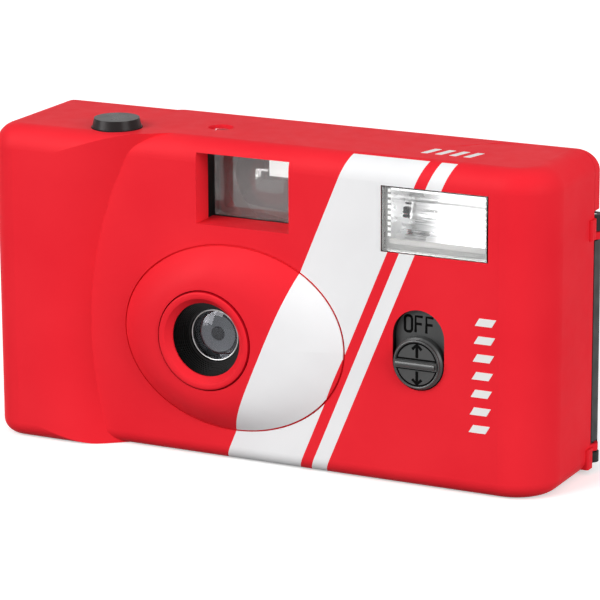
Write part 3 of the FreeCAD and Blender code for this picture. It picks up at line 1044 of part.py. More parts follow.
latch_gap = box("latch_gap", LEFT + " - 1", LEFT + " + door_wall + 0.2", DOOR_FRONT + " - 1",
                back("shell_depth + 4.4"), "latch_z - 8.3", "latch_z + 2.6")
latch_peg = box("latch_peg", LEFT + " + 0.3", LEFT + " + 1.3", back("shell_depth + 1.4"),
                back("shell_depth + 2.7"), "latch_z - 1.6", "latch_z + 3")
door_window = box("door_window_cut", "cartridge_x - 2.6", "cartridge_x + 2.6", DOOR_IN + " - 1",
                  DOOR_BACK + " + 1", "film_z - 13", "film_z + 13")
door_bores = [
    rod("door_pin_upper", "hinge_pin + 0.02", "hinge_x", back("hinge_back"), "door_high - 4", "3.4"),
    rod("door_pin_lower", "hinge_pin + 0.02", "hinge_x", back("hinge_back"), "door_low + 0.4", "3")]
keep(cut("rear_door_final",
         fuse("door_form", cut("door_shell", door_block, door_inside, *hinge_gaps, latch_gap,
                               door_window), *knuckles, latch_peg), *door_bores), "rear_door")
keep(group("hinge_pins_form",
           rod("hinge_pin_upper", "hinge_pin", "hinge_x", back("hinge_back"), "door_high - 5.3",
               "4.6"),
           rod("hinge_pin_lower", "hinge_pin", "hinge_x", back("hinge_back"), "door_low + 0.5",
               "3.7")), "hinge_pins")
keep(fuse("film_window_form",
          box("film_window_pane", "cartridge_x - 2.5", "cartridge_x + 2.5", DOOR_IN, DOOR_BACK + " - 0.4",
              "film_z - 12.9", "film_z + 12.9"),
          box("film_window_flange", "cartridge_x - 3.4", "cartridge_x + 3.4", DOOR_IN + " - 0.5",
              DOOR_IN, "film_z - 13.8", "film_z + 13.8")), "film_window")
PLATE_FRONT = RAILS + " + 0.3"
keep(cut("pressure_plate_form",
         box("pressure_plate_blank", GATE_LEFT + " - 4.5", GATE_RIGHT + " + 5", PLATE_FRONT,
             PLATE_FRONT + " + 0.8", "film_z - 16.3", "film_z + 16.3"),
         box("sprocket_notch", "sprocket_x - 5", "sprocket_x + 5", PLATE_FRONT + " - 1",
             PLATE_FRONT + " + 2", "sprocket_low - 1", "film_z + 17")), "pressure_plate")
spring_leaf = new_body("pressure_spring_form")
leaf_points = [("lens_x - 13", DOOR_IN + " - 0.3"), ("lens_x - 8", DOOR_IN + " - 0.3"),
               ("lens_x", PLATE_FRONT + " + 0.85"), ("lens_x + 8", DOOR_IN + " - 0.3"),
               ("lens_x + 13", DOOR_IN + " - 0.3"), ("lens_x + 13", DOOR_IN + " - 0.05"),
               ("lens_x + 7.9", DOOR_IN + " - 0.05"), ("lens_x", PLATE_FRONT + " + 1.1"),
               ("lens_x - 7.9", DOOR_IN + " - 0.05"), ("lens_x - 13", DOOR_IN + " - 0.05")]
pad(spring_leaf, outline(spring_leaf, "leaf_outline", "XY_Plane", leaf_points, None, "film_z - 4"), "8",
    "leaf_pad")
keep(spring_leaf, "pressure_spring")
keep(group("light_seals_form",
           box("seal_top", "spool_x - 8", "cartridge_x - 14", DOOR_IN + " - 2.2", DOOR_IN + " - 0.1",
               "door_high - door_wall - 1.6", "door_high - door_wall - 0.1"),
           box("seal_base", "spool_x - 8", "cartridge_x + 8", DOOR_IN + " - 2.2", DOOR_IN + " - 0.1",
               "door_low + door_wall + 0.1", "door_low + door_wall + 1.6"),
           box("seal_hinge", RIGHT + " - door_corner - 1.6", RIGHT + " - door_corner",
               DOOR_IN + " - 1.4", DOOR_IN + " - 0.1", "film_z - 12", "film_z + 12")),
     "light_seals")

# Door latch on the left end, its spring, the strap lug and the case screws
LATCH_Y = back("shell_depth - 8.4")
keep(fuse("door_latch_form",
          box("latch_plate", LEFT + " + 0.1", LEFT + " + 0.9", LATCH_Y, back("shell_depth - 0.6"),
              "latch_z - 4.6", "latch_z + 6.6"),
          *[box("latch_rib_%d" % rib, LEFT + " - 0.5", LEFT + " + 0.2", LATCH_Y + " + 0.8",
                back("shell_depth - 3"), "latch_z - 3.4 + 1.7 * %d" % rib,
                "latch_z - 2.6 + 1.7 * %d" % rib) for rib in range(6)],
          box("latch_arm", LEFT + " + 0.3", LEFT + " + 0.9", back("shell_depth - 1"),
              back("shell_depth + 4.1"), "latch_z - 4.4", "latch_z - 2.2"),
          box("latch_hook", LEFT + " + 0.3", LEFT + " + 0.9", back("shell_depth + 3"),
              back("shell_depth + 4.1"), "latch_z - 2.4", "latch_z - 1.9")), "door_latch")
keep(helix_spring("latch_spring_form", "0.32", "0.11", "5.5", "7", LEFT + " + 0.52",
                  back("shell_depth - 4.5"), "latch_z - 10.3"), "latch_spring")
keep(cut("strap_lug_form",
         fuse("strap_lug_blank",
              box("lug_tongue", LEFT + " + 0.1", INNER_LEFT, back("shell_depth - 5.1"),
                  back("shell_depth - 2.9"), "41.9", "46.1"),
              rod("lug_eye", "2.1", LEFT + " - 1.6", back("shell_depth - 5.1"), "44", "2.2", "y"),
              box("lug_neck", LEFT + " - 1.6", LEFT + " + 1", back("shell_depth - 5.1"),
                  back("shell_depth - 2.9"), "41.9", "46.1")),
         rod("lug_hole", "lug_bore", LEFT + " - 1.6", back("shell_depth - 6"), "44", "4", "y")),
     "strap_lug")
screws = []
for index, (x, distance) in enumerate(SCREW_SPOTS):
    screws.append(cut("case_screw_%d" % index,
                      fuse("case_screw_blank_%d" % index,
                           rod("screw_head_%d" % index, "1.7", x, back(distance), "0.35", "0.85"),
                           rod("screw_shank_%d" % index, "screw_radius", x, back(distance), "1", "6")),
                      box("screw_slot_a_%d" % index, x + " - 1", x + " + 1", back(distance) + " - 0.2",
                          back(distance) + " + 0.2", "0", "0.75"),
                      box("screw_slot_b_%d" % index, x + " - 0.2", x + " + 0.2", back(distance) + " - 1",
                          back(distance) + " + 1", "0", "0.75")))
keep(group("case_screws_form", *screws), "case_screws")

# Checks and files
doc.recompute()
broken = [thing.Label for thing in doc.Objects if "Invalid" in thing.State or "Error" in thing.State]
broken += [part.Label for part in PARTS if part.Shape.isNull() or not part.Shape.isValid()]
if broken:
    raise RuntimeError("these pieces did not build: " + ", ".join(broken))
os.makedirs("parts", exist_ok=True)
for part in PARTS:
    print("%-24s %d solid(s) %10.1f mm3" % (part.Label, len(part.Shape.Solids), part.Shape.Volume))
    part.Shape.exportStep("parts/%s.step" % part.Label)
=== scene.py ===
import json
import math
import bmesh
import bpy
from mathutils import Matrix, Vector


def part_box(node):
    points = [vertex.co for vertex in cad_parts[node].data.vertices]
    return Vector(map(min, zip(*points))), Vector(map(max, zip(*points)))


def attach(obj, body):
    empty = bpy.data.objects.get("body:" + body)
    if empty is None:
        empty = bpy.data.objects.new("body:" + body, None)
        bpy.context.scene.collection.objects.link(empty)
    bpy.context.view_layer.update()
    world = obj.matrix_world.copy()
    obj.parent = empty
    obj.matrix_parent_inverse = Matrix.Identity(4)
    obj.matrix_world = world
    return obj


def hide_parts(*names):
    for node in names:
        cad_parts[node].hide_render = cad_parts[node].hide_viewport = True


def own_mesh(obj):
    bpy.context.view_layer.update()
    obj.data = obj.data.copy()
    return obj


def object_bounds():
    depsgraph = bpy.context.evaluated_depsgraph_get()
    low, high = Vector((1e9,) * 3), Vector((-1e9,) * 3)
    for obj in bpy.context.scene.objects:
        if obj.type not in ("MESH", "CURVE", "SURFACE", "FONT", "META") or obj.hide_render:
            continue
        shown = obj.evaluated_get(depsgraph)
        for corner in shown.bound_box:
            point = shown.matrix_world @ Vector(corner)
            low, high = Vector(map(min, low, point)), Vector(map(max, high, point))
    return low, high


# Looks of the compact film camera. Blender works in metres; named sizes are in millimetres.
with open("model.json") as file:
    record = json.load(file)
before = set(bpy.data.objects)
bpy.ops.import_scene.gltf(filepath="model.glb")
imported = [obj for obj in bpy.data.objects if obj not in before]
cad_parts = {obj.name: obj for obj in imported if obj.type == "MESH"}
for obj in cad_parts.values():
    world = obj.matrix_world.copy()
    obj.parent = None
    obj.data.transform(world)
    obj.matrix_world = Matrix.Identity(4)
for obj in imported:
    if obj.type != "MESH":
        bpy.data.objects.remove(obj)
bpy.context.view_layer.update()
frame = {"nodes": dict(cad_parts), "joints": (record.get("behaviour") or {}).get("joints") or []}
MM = 0.001
FACE_DEPTH = 14.0


def at(x, depth, z):
    """A point in metres from X, the depth behind the front face and Z, in millimetres."""
    return Vector((x, depth - FACE_DEPTH, z)) * MM


def limits_of(node):
    """The lowest and highest X, depth behind the front face and Z of a CAD piece, in millimetres."""
    low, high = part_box(node)
    to_face = Vector((0, FACE_DEPTH, 0))
    return low / MM + to_face, high / MM + to_face


def middle_of(node):
    low, high = limits_of(node)
    return (low + high) / 2


def joint_named(name):
    return next(joint for joint in frame["joints"] if joint["name"] == name)


# Places that materials and pieces share
CASE_TOP = limits_of("front_shell")[1].z
LENS_X, LENS_Z = middle_of("front_lens").xz
SWITCH_X = middle_of("switch_plate").x
SWITCH_LOW = middle_of("flash_switch_knob").z
SWITCH_HIGH = SWITCH_LOW + max(joint_named("flash_switch_slide")["range_m"]) / MM
FLASH_LEFT, FLASH_RIGHT, FLASH_LOW, FLASH_HIGH = 25.0, 46.8, 45.4, 58.1


# Materials
def new_material(name, colour=(0.5, 0.5, 0.5), roughness=0.5, **sockets):
    material = bpy.data.materials.new(name)
    material.use_nodes = True
    shader = material.node_tree.nodes["Principled BSDF"]
    shader.inputs["Base Color"].default_value = (*colour, 1)
    shader.inputs["Roughness"].default_value = roughness
    for socket, value in sockets.items():
        shader.inputs[socket.replace("_", " ")].default_value = value
    return material


def add(material, kind, **values):
    """A node; values go to its properties, or to its inputs where it has no such property."""
    node = material.node_tree.nodes.new(kind)
    for key, value in values.items():
        if hasattr(node, key):
            setattr(node, key, value)
        else:
            node.inputs[key.replace("_", " ")].default_value = value
    return node


def link(material, source, target):
    material.node_tree.links.new(source, target)


def shader_of(material):
    return material.node_tree.nodes["Principled BSDF"]


def object_place(material, stretch=(1, 1, 1)):
    place = add(material, "ShaderNodeTexCoord").outputs["Object"]
    if stretch == (1, 1, 1):
        return place
    mapping = add(material, "ShaderNodeMapping")
    mapping.inputs["Scale"].default_value = stretch
    link(material, place, mapping.inputs["Vector"])
    return mapping.outputs["Vector"]


def noise(material, scale, detail=2.0, stretch=(1, 1, 1), rough=0.5):
    texture = add(material, "ShaderNodeTexNoise", Scale=scale, Detail=detail, Roughness=rough)
    link(material, object_place(material, stretch), texture.inputs["Vector"])
    return texture.outputs["Fac"]


def derive(material, operation, first, second):
    """A math node; each value is a number or a socket."""
    node = add(material, "ShaderNodeMath", operation=operation)
    for socket, value in zip(node.inputs, (first, second)):
        if isinstance(value, (int, float)):
            socket.default_value = value
        else:
            link(material, value, socket)
    return node.outputs[0]


def axes(material):
    """The X, Y and Z of the surface in the model's frame."""
    place = add(material, "ShaderNodeSeparateXYZ")
    link(material, object_place(material), place.inputs["Vector"])
    return place.outputs


def inside_of(material, value, low, high):
    """1 where the value lies between the two limits in millimetres."""
    return derive(material, "MULTIPLY", derive(material, "GREATER_THAN", value, low * MM),
                  derive(material, "LESS_THAN", value, high * MM))


def squares_of(material, first, second):
    """The sum of the squares of two values."""
    return derive(material, "ADD", derive(material, "MULTIPLY", first, first),
                  derive(material, "MULTIPLY", second, second))


def radius_from(material, middle_x, middle_z):
    """The distance in metres from an axis that runs front to back."""
    x, y, z = axes(material)
    off_x = derive(material, "SUBTRACT", x, middle_x * MM)
    off_z = derive(material, "SUBTRACT", z, middle_z * MM)
    return derive(material, "SQRT", squares_of(material, off_x, off_z), 0.0)


def repaint(material, mask, colour):
    """Lays another colour over the base colour where the mask is 1."""
    base = shader_of(material).inputs["Base Color"]
    link(material, blend_colour(material, mask, base.links[0].from_socket, colour), base)


def ranged(material, value, low, high, source_low=0.3, source_high=0.7):
    """Maps a value from its own limits to low and high."""
    node = add(material, "ShaderNodeMapRange", From_Min=source_low, From_Max=source_high,
               To_Min=low, To_Max=high)
    link(material, value, node.inputs["Value"])
    return node.outputs["Result"]


def blend_colour(material, factor, first, second):
    """Mixes two colours, each a triple or a socket."""
    mix = add(material, "ShaderNodeMix", data_type="RGBA")
    link(material, factor, mix.inputs["Factor"])
    for socket, colour in ((mix.inputs[6], first), (mix.inputs[7], second)):
        if isinstance(colour, tuple):
            socket.default_value = (*colour, 1)
        else:
            link(material, colour, socket)
    return mix.outputs[2]


def bump(material, height, distance, strength=1.0, before=None):
    node = add(material, "ShaderNodeBump", Strength=strength, Distance=distance)
    link(material, height, node.inputs["Height"])
    if before is not None:
        link(material, before, node.inputs["Normal"])
    return node.outputs["Normal"]


def moulded(name, dark, light, roughness, grain, depth, spread=0.05, cloud=45, **sockets):
    """Moulded plastic: cloudy colour, uneven gloss and a fine grain in the surface."""
    sockets.setdefault("Specular_IOR_Level", 0.3)
    material = new_material(name, light, roughness, **sockets)
    shader = shader_of(material)
    clouds = noise(material, cloud, 4)
    link(material, blend_colour(material, ranged(material, clouds, 0, 1), dark, light),
         shader.inputs["Base Color"])
    link(material, ranged(material, noise(material, cloud * 7, 3), roughness - spread,
                          roughness + spread), shader.inputs["Roughness"])
    fine = bump(material, noise(material, grain, 2), depth)
    link(material, bump(material, noise(material, grain / 9, 2), depth * 2, 0.6, fine),
         shader.inputs["Normal"])
    return material


def brushed(name, dark, light, roughness, stretch, scale=900, metallic=1.0, depth=0.000004):
    """Metal with fine drawn lines along the axis that stretch leaves small."""
    material = new_material(name, light, roughness, Metallic=metallic)
    shader = shader_of(material)
    lines = noise(material, scale, 3, stretch)
    link(material, blend_colour(material, ranged(material, lines, 0, 1), dark, light),
         shader.inputs["Base Color"])
    link(material, ranged(material, lines, roughness * 0.75, roughness * 1.3),
         shader.inputs["Roughness"])
    link(material, bump(material, lines, depth), shader.inputs["Normal"])
    return material


def clear(name, colour, roughness=0.02, ior=1.49, smear=0.03, ripple=0.0000015, **sockets):
    """Clear plastic or glass with faint smears in its polish and, unless 0, a ripple."""
    material = new_material(name, colour, roughness, **sockets)
    shader = shader_of(material)
    shader.inputs["Transmission Weight"].default_value = 1.0
    shader.inputs["IOR"].default_value = ior
    smears = noise(material, 160, 3, (1, 1, 0.4))
    link(material, ranged(material, smears, roughness, roughness + smear),
         shader.inputs["Roughness"])
    if ripple:
        link(material, bump(material, noise(material, 300, 2), ripple), shader.inputs["Normal"])
    return material


# Red lacquer with the printed stripes
STRIPE_SLANT = 0.42
STRIPES = ((-8.4, 7.3), (9.7, 12.9))
FLAT_DEPTH = 0.07
RIM_DEPTH, RIM_TOP, RIM_BASE = 3.1, 4.45, 3.05
RED_DARK, RED_LIGHT = (0.77, 0.018, 0.030), (0.82, 0.024, 0.036)
# Deep red painted as shade in the seam round the lens ring
RED_SEAM_SHADE = (0.36, 0.001, 0.006)
STRIPE_DARK, STRIPE_LIGHT, STRIPE_ROUGHNESS = (0.79, 0.79, 0.80), (0.84, 0.84, 0.85), 0.36
BLACK = (0.006, 0.006, 0.006)


def stripe_mask(material):
    """1 on the pair of slanted stripes, which cover the flat face and its rounded rims; 0 elsewhere."""
    x, y, z = axes(material)
    across = derive(material, "SUBTRACT", x, derive(material, "MULTIPLY", z, STRIPE_SLANT))
    first, second = (inside_of(material, across, low, high) for low, high in STRIPES)
    on_face = derive(material, "LESS_THAN", y, (FLAT_DEPTH - FACE_DEPTH) * MM)
    near_rim = derive(material, "MAXIMUM", derive(material, "GREATER_THAN", z, (CASE_TOP - RIM_TOP) * MM),
                      derive(material, "LESS_THAN", z, RIM_BASE * MM))
    in_reach = derive(material, "LESS_THAN", y, (RIM_DEPTH - FACE_DEPTH) * MM)
    on_rim = derive(material, "MULTIPLY", in_reach, near_rim)
    return derive(material, "MULTIPLY", derive(material, "MAXIMUM", first, second),
                  derive(material, "MAXIMUM", on_face, on_rim))


def soft_touch(name, striped=False):
    """Red soft-touch lacquer, with or without the printed stripes."""
    material = moulded(name, RED_DARK, RED_LIGHT, 0.46, 5200, 0.000006, 0.04,
                       Specular_IOR_Level=0.02)
    if not striped:
        return material
    shader = shader_of(material)
    mask = stripe_mask(material)
    red = shader.inputs["Base Color"].links[0].from_socket
    white = blend_colour(material, ranged(material, noise(material, 60, 3), 0, 1),
                         STRIPE_DARK, STRIPE_LIGHT)
    link(material, blend_colour(material, mask, red, white), shader.inputs["Base Color"])
    rough = shader.inputs["Roughness"].links[0].from_socket
    mix = add(material, "ShaderNodeMix", data_type="FLOAT")
    link(material, mask, mix.inputs["Factor"])
    link(material, rough, mix.inputs[2])
    mix.inputs[3].default_value = STRIPE_ROUGHNESS
    link(material, mix.outputs[0], shader.inputs["Roughness"])
    return material


# Margin, slot radius and depths of the painted shade on the inner walls of the openings
WINDOW_MARGIN, SLOT_RADIUS = 0.03, 5.34
SHADE_FRONT, SHADE_REAR = 0.15, 2.1


def shade_openings(material):
    """Paints shade: blackens the inner walls of the flash window and of the switch's round-ended slot,
    which lie in shadow.
    """
    x, y, z = axes(material)
    in_window = derive(material, "MULTIPLY",
                       inside_of(material, x, FLASH_LEFT - WINDOW_MARGIN, FLASH_RIGHT + WINDOW_MARGIN),
                       inside_of(material, z, FLASH_LOW - WINDOW_MARGIN, FLASH_HIGH + WINDOW_MARGIN))
    off_x = derive(material, "SUBTRACT", x, SWITCH_X * MM)
    not_below = derive(material, "MAXIMUM", z, SWITCH_LOW * MM)
    off_z = derive(material, "SUBTRACT", z, derive(material, "MINIMUM", not_below, SWITCH_HIGH * MM))
    in_slot = derive(material, "LESS_THAN", squares_of(material, off_x, off_z), (SLOT_RADIUS * MM) ** 2)
    in_walls = inside_of(material, y, SHADE_FRONT - FACE_DEPTH, SHADE_REAR - FACE_DEPTH)
    in_opening = derive(material, "MAXIMUM", in_window, in_slot)
    repaint(material, derive(material, "MULTIPLY", in_opening, in_walls), BLACK)


RING_SEAM = 9.62
red_face = soft_touch("red_soft_touch_printed", True)
shade_openings(red_face)
red_plain = soft_touch("red_soft_touch")
# The lens ring's outer edge beyond the seam radius is painted deep red, as shade in the seam round it.
red_ring = soft_touch("red_soft_touch_ring")
ring_radius = radius_from(red_ring, LENS_X, LENS_Z)
repaint(red_ring, derive(red_ring, "GREATER_THAN", ring_radius, RING_SEAM * MM), RED_SEAM_SHADE)

# Other materials
black_case = moulded("black_grained_plastic", (0.012, 0.012, 0.012), (0.019, 0.019, 0.019), 0.5, 2600,
                     0.00002, 0.08, Specular_IOR_Level=0.16)
black_inner = moulded("black_matt_plastic", (0.008, 0.008, 0.008), (0.014, 0.014, 0.014), 0.68, 3000,
                      0.00001, 0.08)
black_gloss = moulded("black_gloss_plastic", (0.010, 0.010, 0.011), (0.016, 0.016, 0.017), 0.2, 4200,
                      0.000002, 0.05)
barrel_black = moulded("lens_barrel_black", (0.003, 0.003, 0.003), (0.006, 0.006, 0.006), 0.36, 4200,
                       0.000003, 0.05, Specular_IOR_Level=0.16)
button_black = moulded("button_black", (0.012, 0.010, 0.010), (0.018, 0.015, 0.015), 0.3, 3600, 0.000006,
                       0.05, Specular_IOR_Level=0.08)
knob_grey = moulded("switch_knob_grey", (0.030, 0.031, 0.031), (0.038, 0.039, 0.039), 0.36, 3600,
                    0.000008, 0.05, Specular_IOR_Level=0.35)
grey_switch = moulded("dark_grey_plastic", (0.030, 0.031, 0.031), (0.040, 0.041, 0.041), 0.5, 3600,
                      0.000008, 0.06)
finder_dark = moulded("finder_tunnel_grey", (0.060, 0.058, 0.056), (0.085, 0.082, 0.080), 0.6, 3000,
                      0.000008, 0.06, Specular_IOR_Level=0.1)
glass_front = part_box("finder_front_lens")[0].y
repaint(finder_dark, derive(finder_dark, "LESS_THAN", axes(finder_dark)[1], glass_front), BLACK)
white_ink = moulded("white_ink", (0.72, 0.72, 0.71), (0.80, 0.80, 0.79), 0.4, 4000, 0.000003)
amber = moulded("amber_plastic", (0.55, 0.10, 0.01), (0.75, 0.18, 0.02), 0.2, 4000, 0.000002,
                Transmission_Weight=0.35)
foam = moulded("black_seal_foam", (0.010, 0.010, 0.010), (0.020, 0.020, 0.020), 0.92, 1500, 0.00012,
               Sheen_Weight=0.3)
clear_window = clear("clear_plastic", (0.97, 0.98, 0.98), 0.01, 1.49)
finder_glass = clear("finder_plastic", (0.92, 0.94, 0.94), 0.01, 1.49)
finder_haze = clear("finder_front_plastic", (0.95, 0.93, 0.92), 0.0, 1.64, 0.004, 0)
shader_of(finder_haze).inputs["Transmission Weight"].default_value = 0.93
lens_glass = clear("lens_glass", (0.52, 0.54, 0.57), 0.0, 1.46, 0.002, 0,
                   Specular_Tint=(0.62, 0.62, 0.66, 1))
reflector = brushed("bright_reflector", (0.97, 0.97, 0.97), (1.0, 1.0, 1.0), 0.3, (0.05, 1, 1), 700)
# Dark streaks painted into the reflector's colour on its left side, as painted reflections in the mirror.
painted_reflection_streaks = ranged(reflector, noise(reflector, 900, 4, (0.16, 1, 1), 0.6), 0.0, 0.7, 0.48, 0.62)
STREAKS_LEFT, STREAKS_RIGHT = 28.2, 32.6
in_reflection_band = inside_of(reflector, axes(reflector)[0], STREAKS_LEFT, STREAKS_RIGHT)
repaint(reflector, derive(reflector, "MULTIPLY", painted_reflection_streaks, in_reflection_band), (0.20, 0.20, 0.20))
frosted = clear("flash_tube_glass", (0.99, 0.99, 0.99), 0.02, 1.12, 0.02, 0)
ribbed = clear("ribbed_flash_window", (0.995, 1.0, 1.0), 0.01, 1.49)
ribs = add(ribbed, "ShaderNodeTexWave", bands_direction="Z", Scale=299.0, Distortion=0.0)
link(ribbed, object_place(ribbed), ribs.inputs["Vector"])
link(ribbed, bump(ribbed, ribs.outputs["Fac"], 0.00003), shader_of(ribbed).inputs["Normal"])
steel = brushed("spring_steel", (0.42, 0.42, 0.42), (0.58, 0.58, 0.58), 0.28, (1, 1, 0.1), 1200)
plated = brushed("plated_steel", (0.60, 0.60, 0.59), (0.74, 0.74, 0.73), 0.2, (1, 1, 0.3), 1500)
dark_steel = brushed("blackened_steel", (0.03, 0.03, 0.03), (0.07, 0.07, 0.07), 0.4, (0.1, 1, 1), 900)
plate_steel = brushed("black_lacquered_steel", (0.016, 0.016, 0.017), (0.03, 0.03, 0.03), 0.3,
                      (0.1, 1, 1), 900, 0.4)
stop_grey = moulded("aperture_grey", (0.22, 0.22, 0.22), (0.31, 0.31, 0.31), 0.5, 2400, 0.000004)
rim_grey = brushed("lens_rim_metal", (0.26, 0.26, 0.26), (0.40, 0.40, 0.40), 0.35, (1, 1, 1), 900)
copper = brushed("enamelled_copper", (0.36, 0.12, 0.04), (0.62, 0.24, 0.09), 0.3, (0.2, 1, 1), 2600)
board_green = moulded("board_green", (0.010, 0.085, 0.035), (0.016, 0.13, 0.055), 0.3, 2200, 0.000008)
sleeve = moulded("capacitor_sleeve", (0.012, 0.016, 0.05), (0.02, 0.026, 0.075), 0.25, 3000, 0.000003)

# Looks of the CAD pieces
NODE_LOOKS = {
    red_face: ["front_shell"],
    red_plain: ["rear_top_cover"],
    red_ring: ["lens_ring"],
    black_case: ["rear_door", "battery_door", "door_latch", "advance_wheel", "rewind_disc",
                 "rewind_crank", "rewind_release_button"],
    black_inner: ["chassis", "spool_housing", "cartridge_housing", "battery_holder", "shutter_blade"],
    finder_dark: ["finder_frame"],
    black_gloss: ["takeup_spool", "film_sprocket", "rewind_fork", "counter_dial"],
    barrel_black: ["lens_barrel"],
    button_black: ["shutter_button"],
    knob_grey: ["flash_switch_knob"],
    grey_switch: ["switch_plate"],
    amber: ["ready_lamp"],
    foam: ["light_seals"],
    clear_window: ["counter_window", "film_window"],
    ribbed: ["flash_lens"],
    frosted: ["flash_tube"],
    finder_glass: ["eyepiece_lens"],
    finder_haze: ["finder_front_lens"],
    lens_glass: ["front_lens", "rear_lens"],
    reflector: ["flash_reflector"],
    steel: ["battery_spring", "button_spring", "release_spring", "latch_spring", "pressure_spring",
            "wheel_pawl", "release_lever"],
    plated: ["battery_contact", "crank_pin", "hinge_pins", "shutter_pins", "case_screws",
             "strap_lug"],
    dark_steel: ["shutter_plate"],
    stop_grey: ["aperture_disc"],
    plate_steel: ["pressure_plate"],
    copper: ["flash_transformer", "trigger_coil"],
    board_green: ["flash_board"],
    sleeve: ["flash_capacitor"],
}
for material, nodes in NODE_LOOKS.items():
    for node in nodes:
        frame["nodes"][node].data.materials.clear()
        frame["nodes"][node].data.materials.append(material)


# Ways to make pieces
def piece_from(name, mesh, material, body):
    thing = bpy.data.objects.new(name, mesh)
    bpy.context.scene.collection.objects.link(thing)
    mesh.materials.append(material)
    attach(thing, body)


def piece_of_shape(name, shape, material, body):
    """A piece from a bmesh, which is freed."""
    mesh = bpy.data.meshes.new(name)
    shape.to_mesh(mesh)
    shape.free()
    piece_from(name, mesh, material, body)


def mesh_of(curve):
    """The mesh of a curve, which is removed."""
    holder = bpy.data.objects.new(curve.name, curve)
    bpy.context.scene.collection.objects.link(holder)
    bpy.context.view_layer.update()
    mesh = bpy.data.meshes.new_from_object(holder.evaluated_get(bpy.context.evaluated_depsgraph_get()))
    bpy.data.objects.remove(holder)
    bpy.data.curves.remove(curve)
    return mesh


def facing_front(x, depth, z):
    """Places a flat XY shape upright on the front, read from the front."""
    return Matrix.Translation(at(x, depth, z)) @ Matrix.Rotation(math.pi / 2, 4, "X")


def strokes(lines, width, flat):
    """The mesh of raised lines in XY; each is a list of points in millimetres, and closed or not."""
    curve = bpy.data.curves.new("lines", "CURVE")
    curve.dimensions = "3D"
    curve.bevel_depth = width / 2 * MM
    curve.bevel_resolution = 3
    curve.use_fill_caps = True
    for points, closed in lines:
        spline = curve.splines.new("POLY")
        spline.points.add(len(points) - 1)
        for spot, (x, y) in zip(spline.points, points):
            spot.co = (x * MM, y * MM, 0, 1)
        spline.use_cyclic_u = closed
    mesh = mesh_of(curve)
    mesh.transform(Matrix.Diagonal((1, 1, flat, 1)))
    return mesh


def circle(radius, steps=72):
    """Points of a circle around the origin."""
    angles = [2 * math.pi * step / steps for step in range(steps)]
    return [(radius * math.cos(angle), radius * math.sin(angle)) for angle in angles]


def round_corners(half_x, half_y, radius, steps=6):
    """Points of a rounded rectangle around the origin."""
    points = []
    for turn in range(4):
        middle_x = (half_x - radius) * (1 if turn in (0, 3) else -1)
        middle_y = (half_y - radius) * (1 if turn in (0, 1) else -1)
        for step in range(steps + 1):
            angle = math.radians(90 * turn + 90 * step / steps)
            points.append((middle_x + radius * math.cos(angle), middle_y + radius * math.sin(angle)))
    return points


# Lettering of the flash switch
PLATE_DEPTH = limits_of("switch_plate")[0].y
LETTER_WIDE, LETTER_TALL, LETTER_PITCH, LETTER_STROKE = 1.45, 3.1, 2.2, 0.52
RING_ROUND, ARM_HEIGHT, ARM_SHORTER = 0.42, 0.54, 0.12
LETTER_FLAT, LABEL_SHIFT = 0.16, -0.45
LABEL_LEVELS = {"OFF": 31.75, "ON": 22.3}


def letter(name, left, low):
    """The strokes of one plain letter from its lower left corner."""
    right, high, middle = left + LETTER_WIDE, low + LETTER_TALL, low + LETTER_TALL * ARM_HEIGHT
    if name == "O":
        ring = round_corners(LETTER_WIDE / 2, LETTER_TALL / 2, LETTER_WIDE * RING_ROUND)
        return [([(x + left + LETTER_WIDE / 2, y + low + LETTER_TALL / 2) for x, y in ring], True)]
    if name == "F":
        return [([(left, low), (left, high), (right, high)], False),
                ([(left, middle), (right - LETTER_WIDE * ARM_SHORTER, middle)], False)]
    return [([(left, low), (left, high), (right, low), (right, high)], False)]


# Black for the letters and arrows, also used for the lines painted as shade on the knob
letter_and_shade_black = moulded("switch_letter_and_shade_black", (0.001, 0.001, 0.001), (0.003, 0.003, 0.003), 0.8, 3600,
                       0.000003, Specular_IOR_Level=0.03)
for label, level in LABEL_LEVELS.items():
    run = LETTER_PITCH * (len(label) - 1) + LETTER_WIDE
    lines = []
    for place, name in enumerate(label):
        lines += letter(name, -run / 2 + place * LETTER_PITCH, -LETTER_TALL / 2)
    mesh = strokes(lines, LETTER_STROKE, LETTER_FLAT)
    mesh.transform(facing_front(SWITCH_X + LABEL_SHIFT, PLATE_DEPTH, level))
    piece_from("switch_" + label.lower(), mesh, letter_and_shade_black, "camera_body")

# Arrows, rim and ridge of the switch knob, and black lines painted as shade round its face and beside its
# ridge
KNOB_FRONT = limits_of("flash_switch_knob")[0].y
KNOB_FACE, CREST_DEPTH = KNOB_FRONT + 0.6, KNOB_FRONT + 0.03
ARROW_FOOT, ARROW_TIP, ARROW_HEAD, ARROW_STROKE, ARROW_SHIFT = 1.3, 3.85, 0.95, 0.6, 0.1
KNOB_RIM, KNOB_GROOVE = 4.5, 4.1
CREST_HALF, SHADE_HALF, SHADE_RISE = 4.0, 3.9, 0.98


def knob_detail(name, look, lines, width, flat, shift=0.0, depth=KNOB_FACE):
    """Raised lines that move with the knob."""
    mesh = strokes(lines, width, flat)
    mesh.transform(facing_front(SWITCH_X + shift, depth, SWITCH_LOW))
    piece_from("knob_" + name, mesh, look, "flash_switch")


for side, name in ((1, "up"), (-1, "down")):
    tip, barb = side * ARROW_TIP, side * (ARROW_TIP - ARROW_HEAD)
    arrow = [([(0, side * ARROW_FOOT), (0, tip)], False),
             ([(-ARROW_HEAD, barb), (0, tip), (ARROW_HEAD, barb)], False)]
    knob_detail("arrow_" + name, letter_and_shade_black, arrow, ARROW_STROKE, LETTER_FLAT, ARROW_SHIFT)
knob_detail("rim", knob_grey, [(circle(KNOB_RIM), True)], width=0.5, flat=0.9)
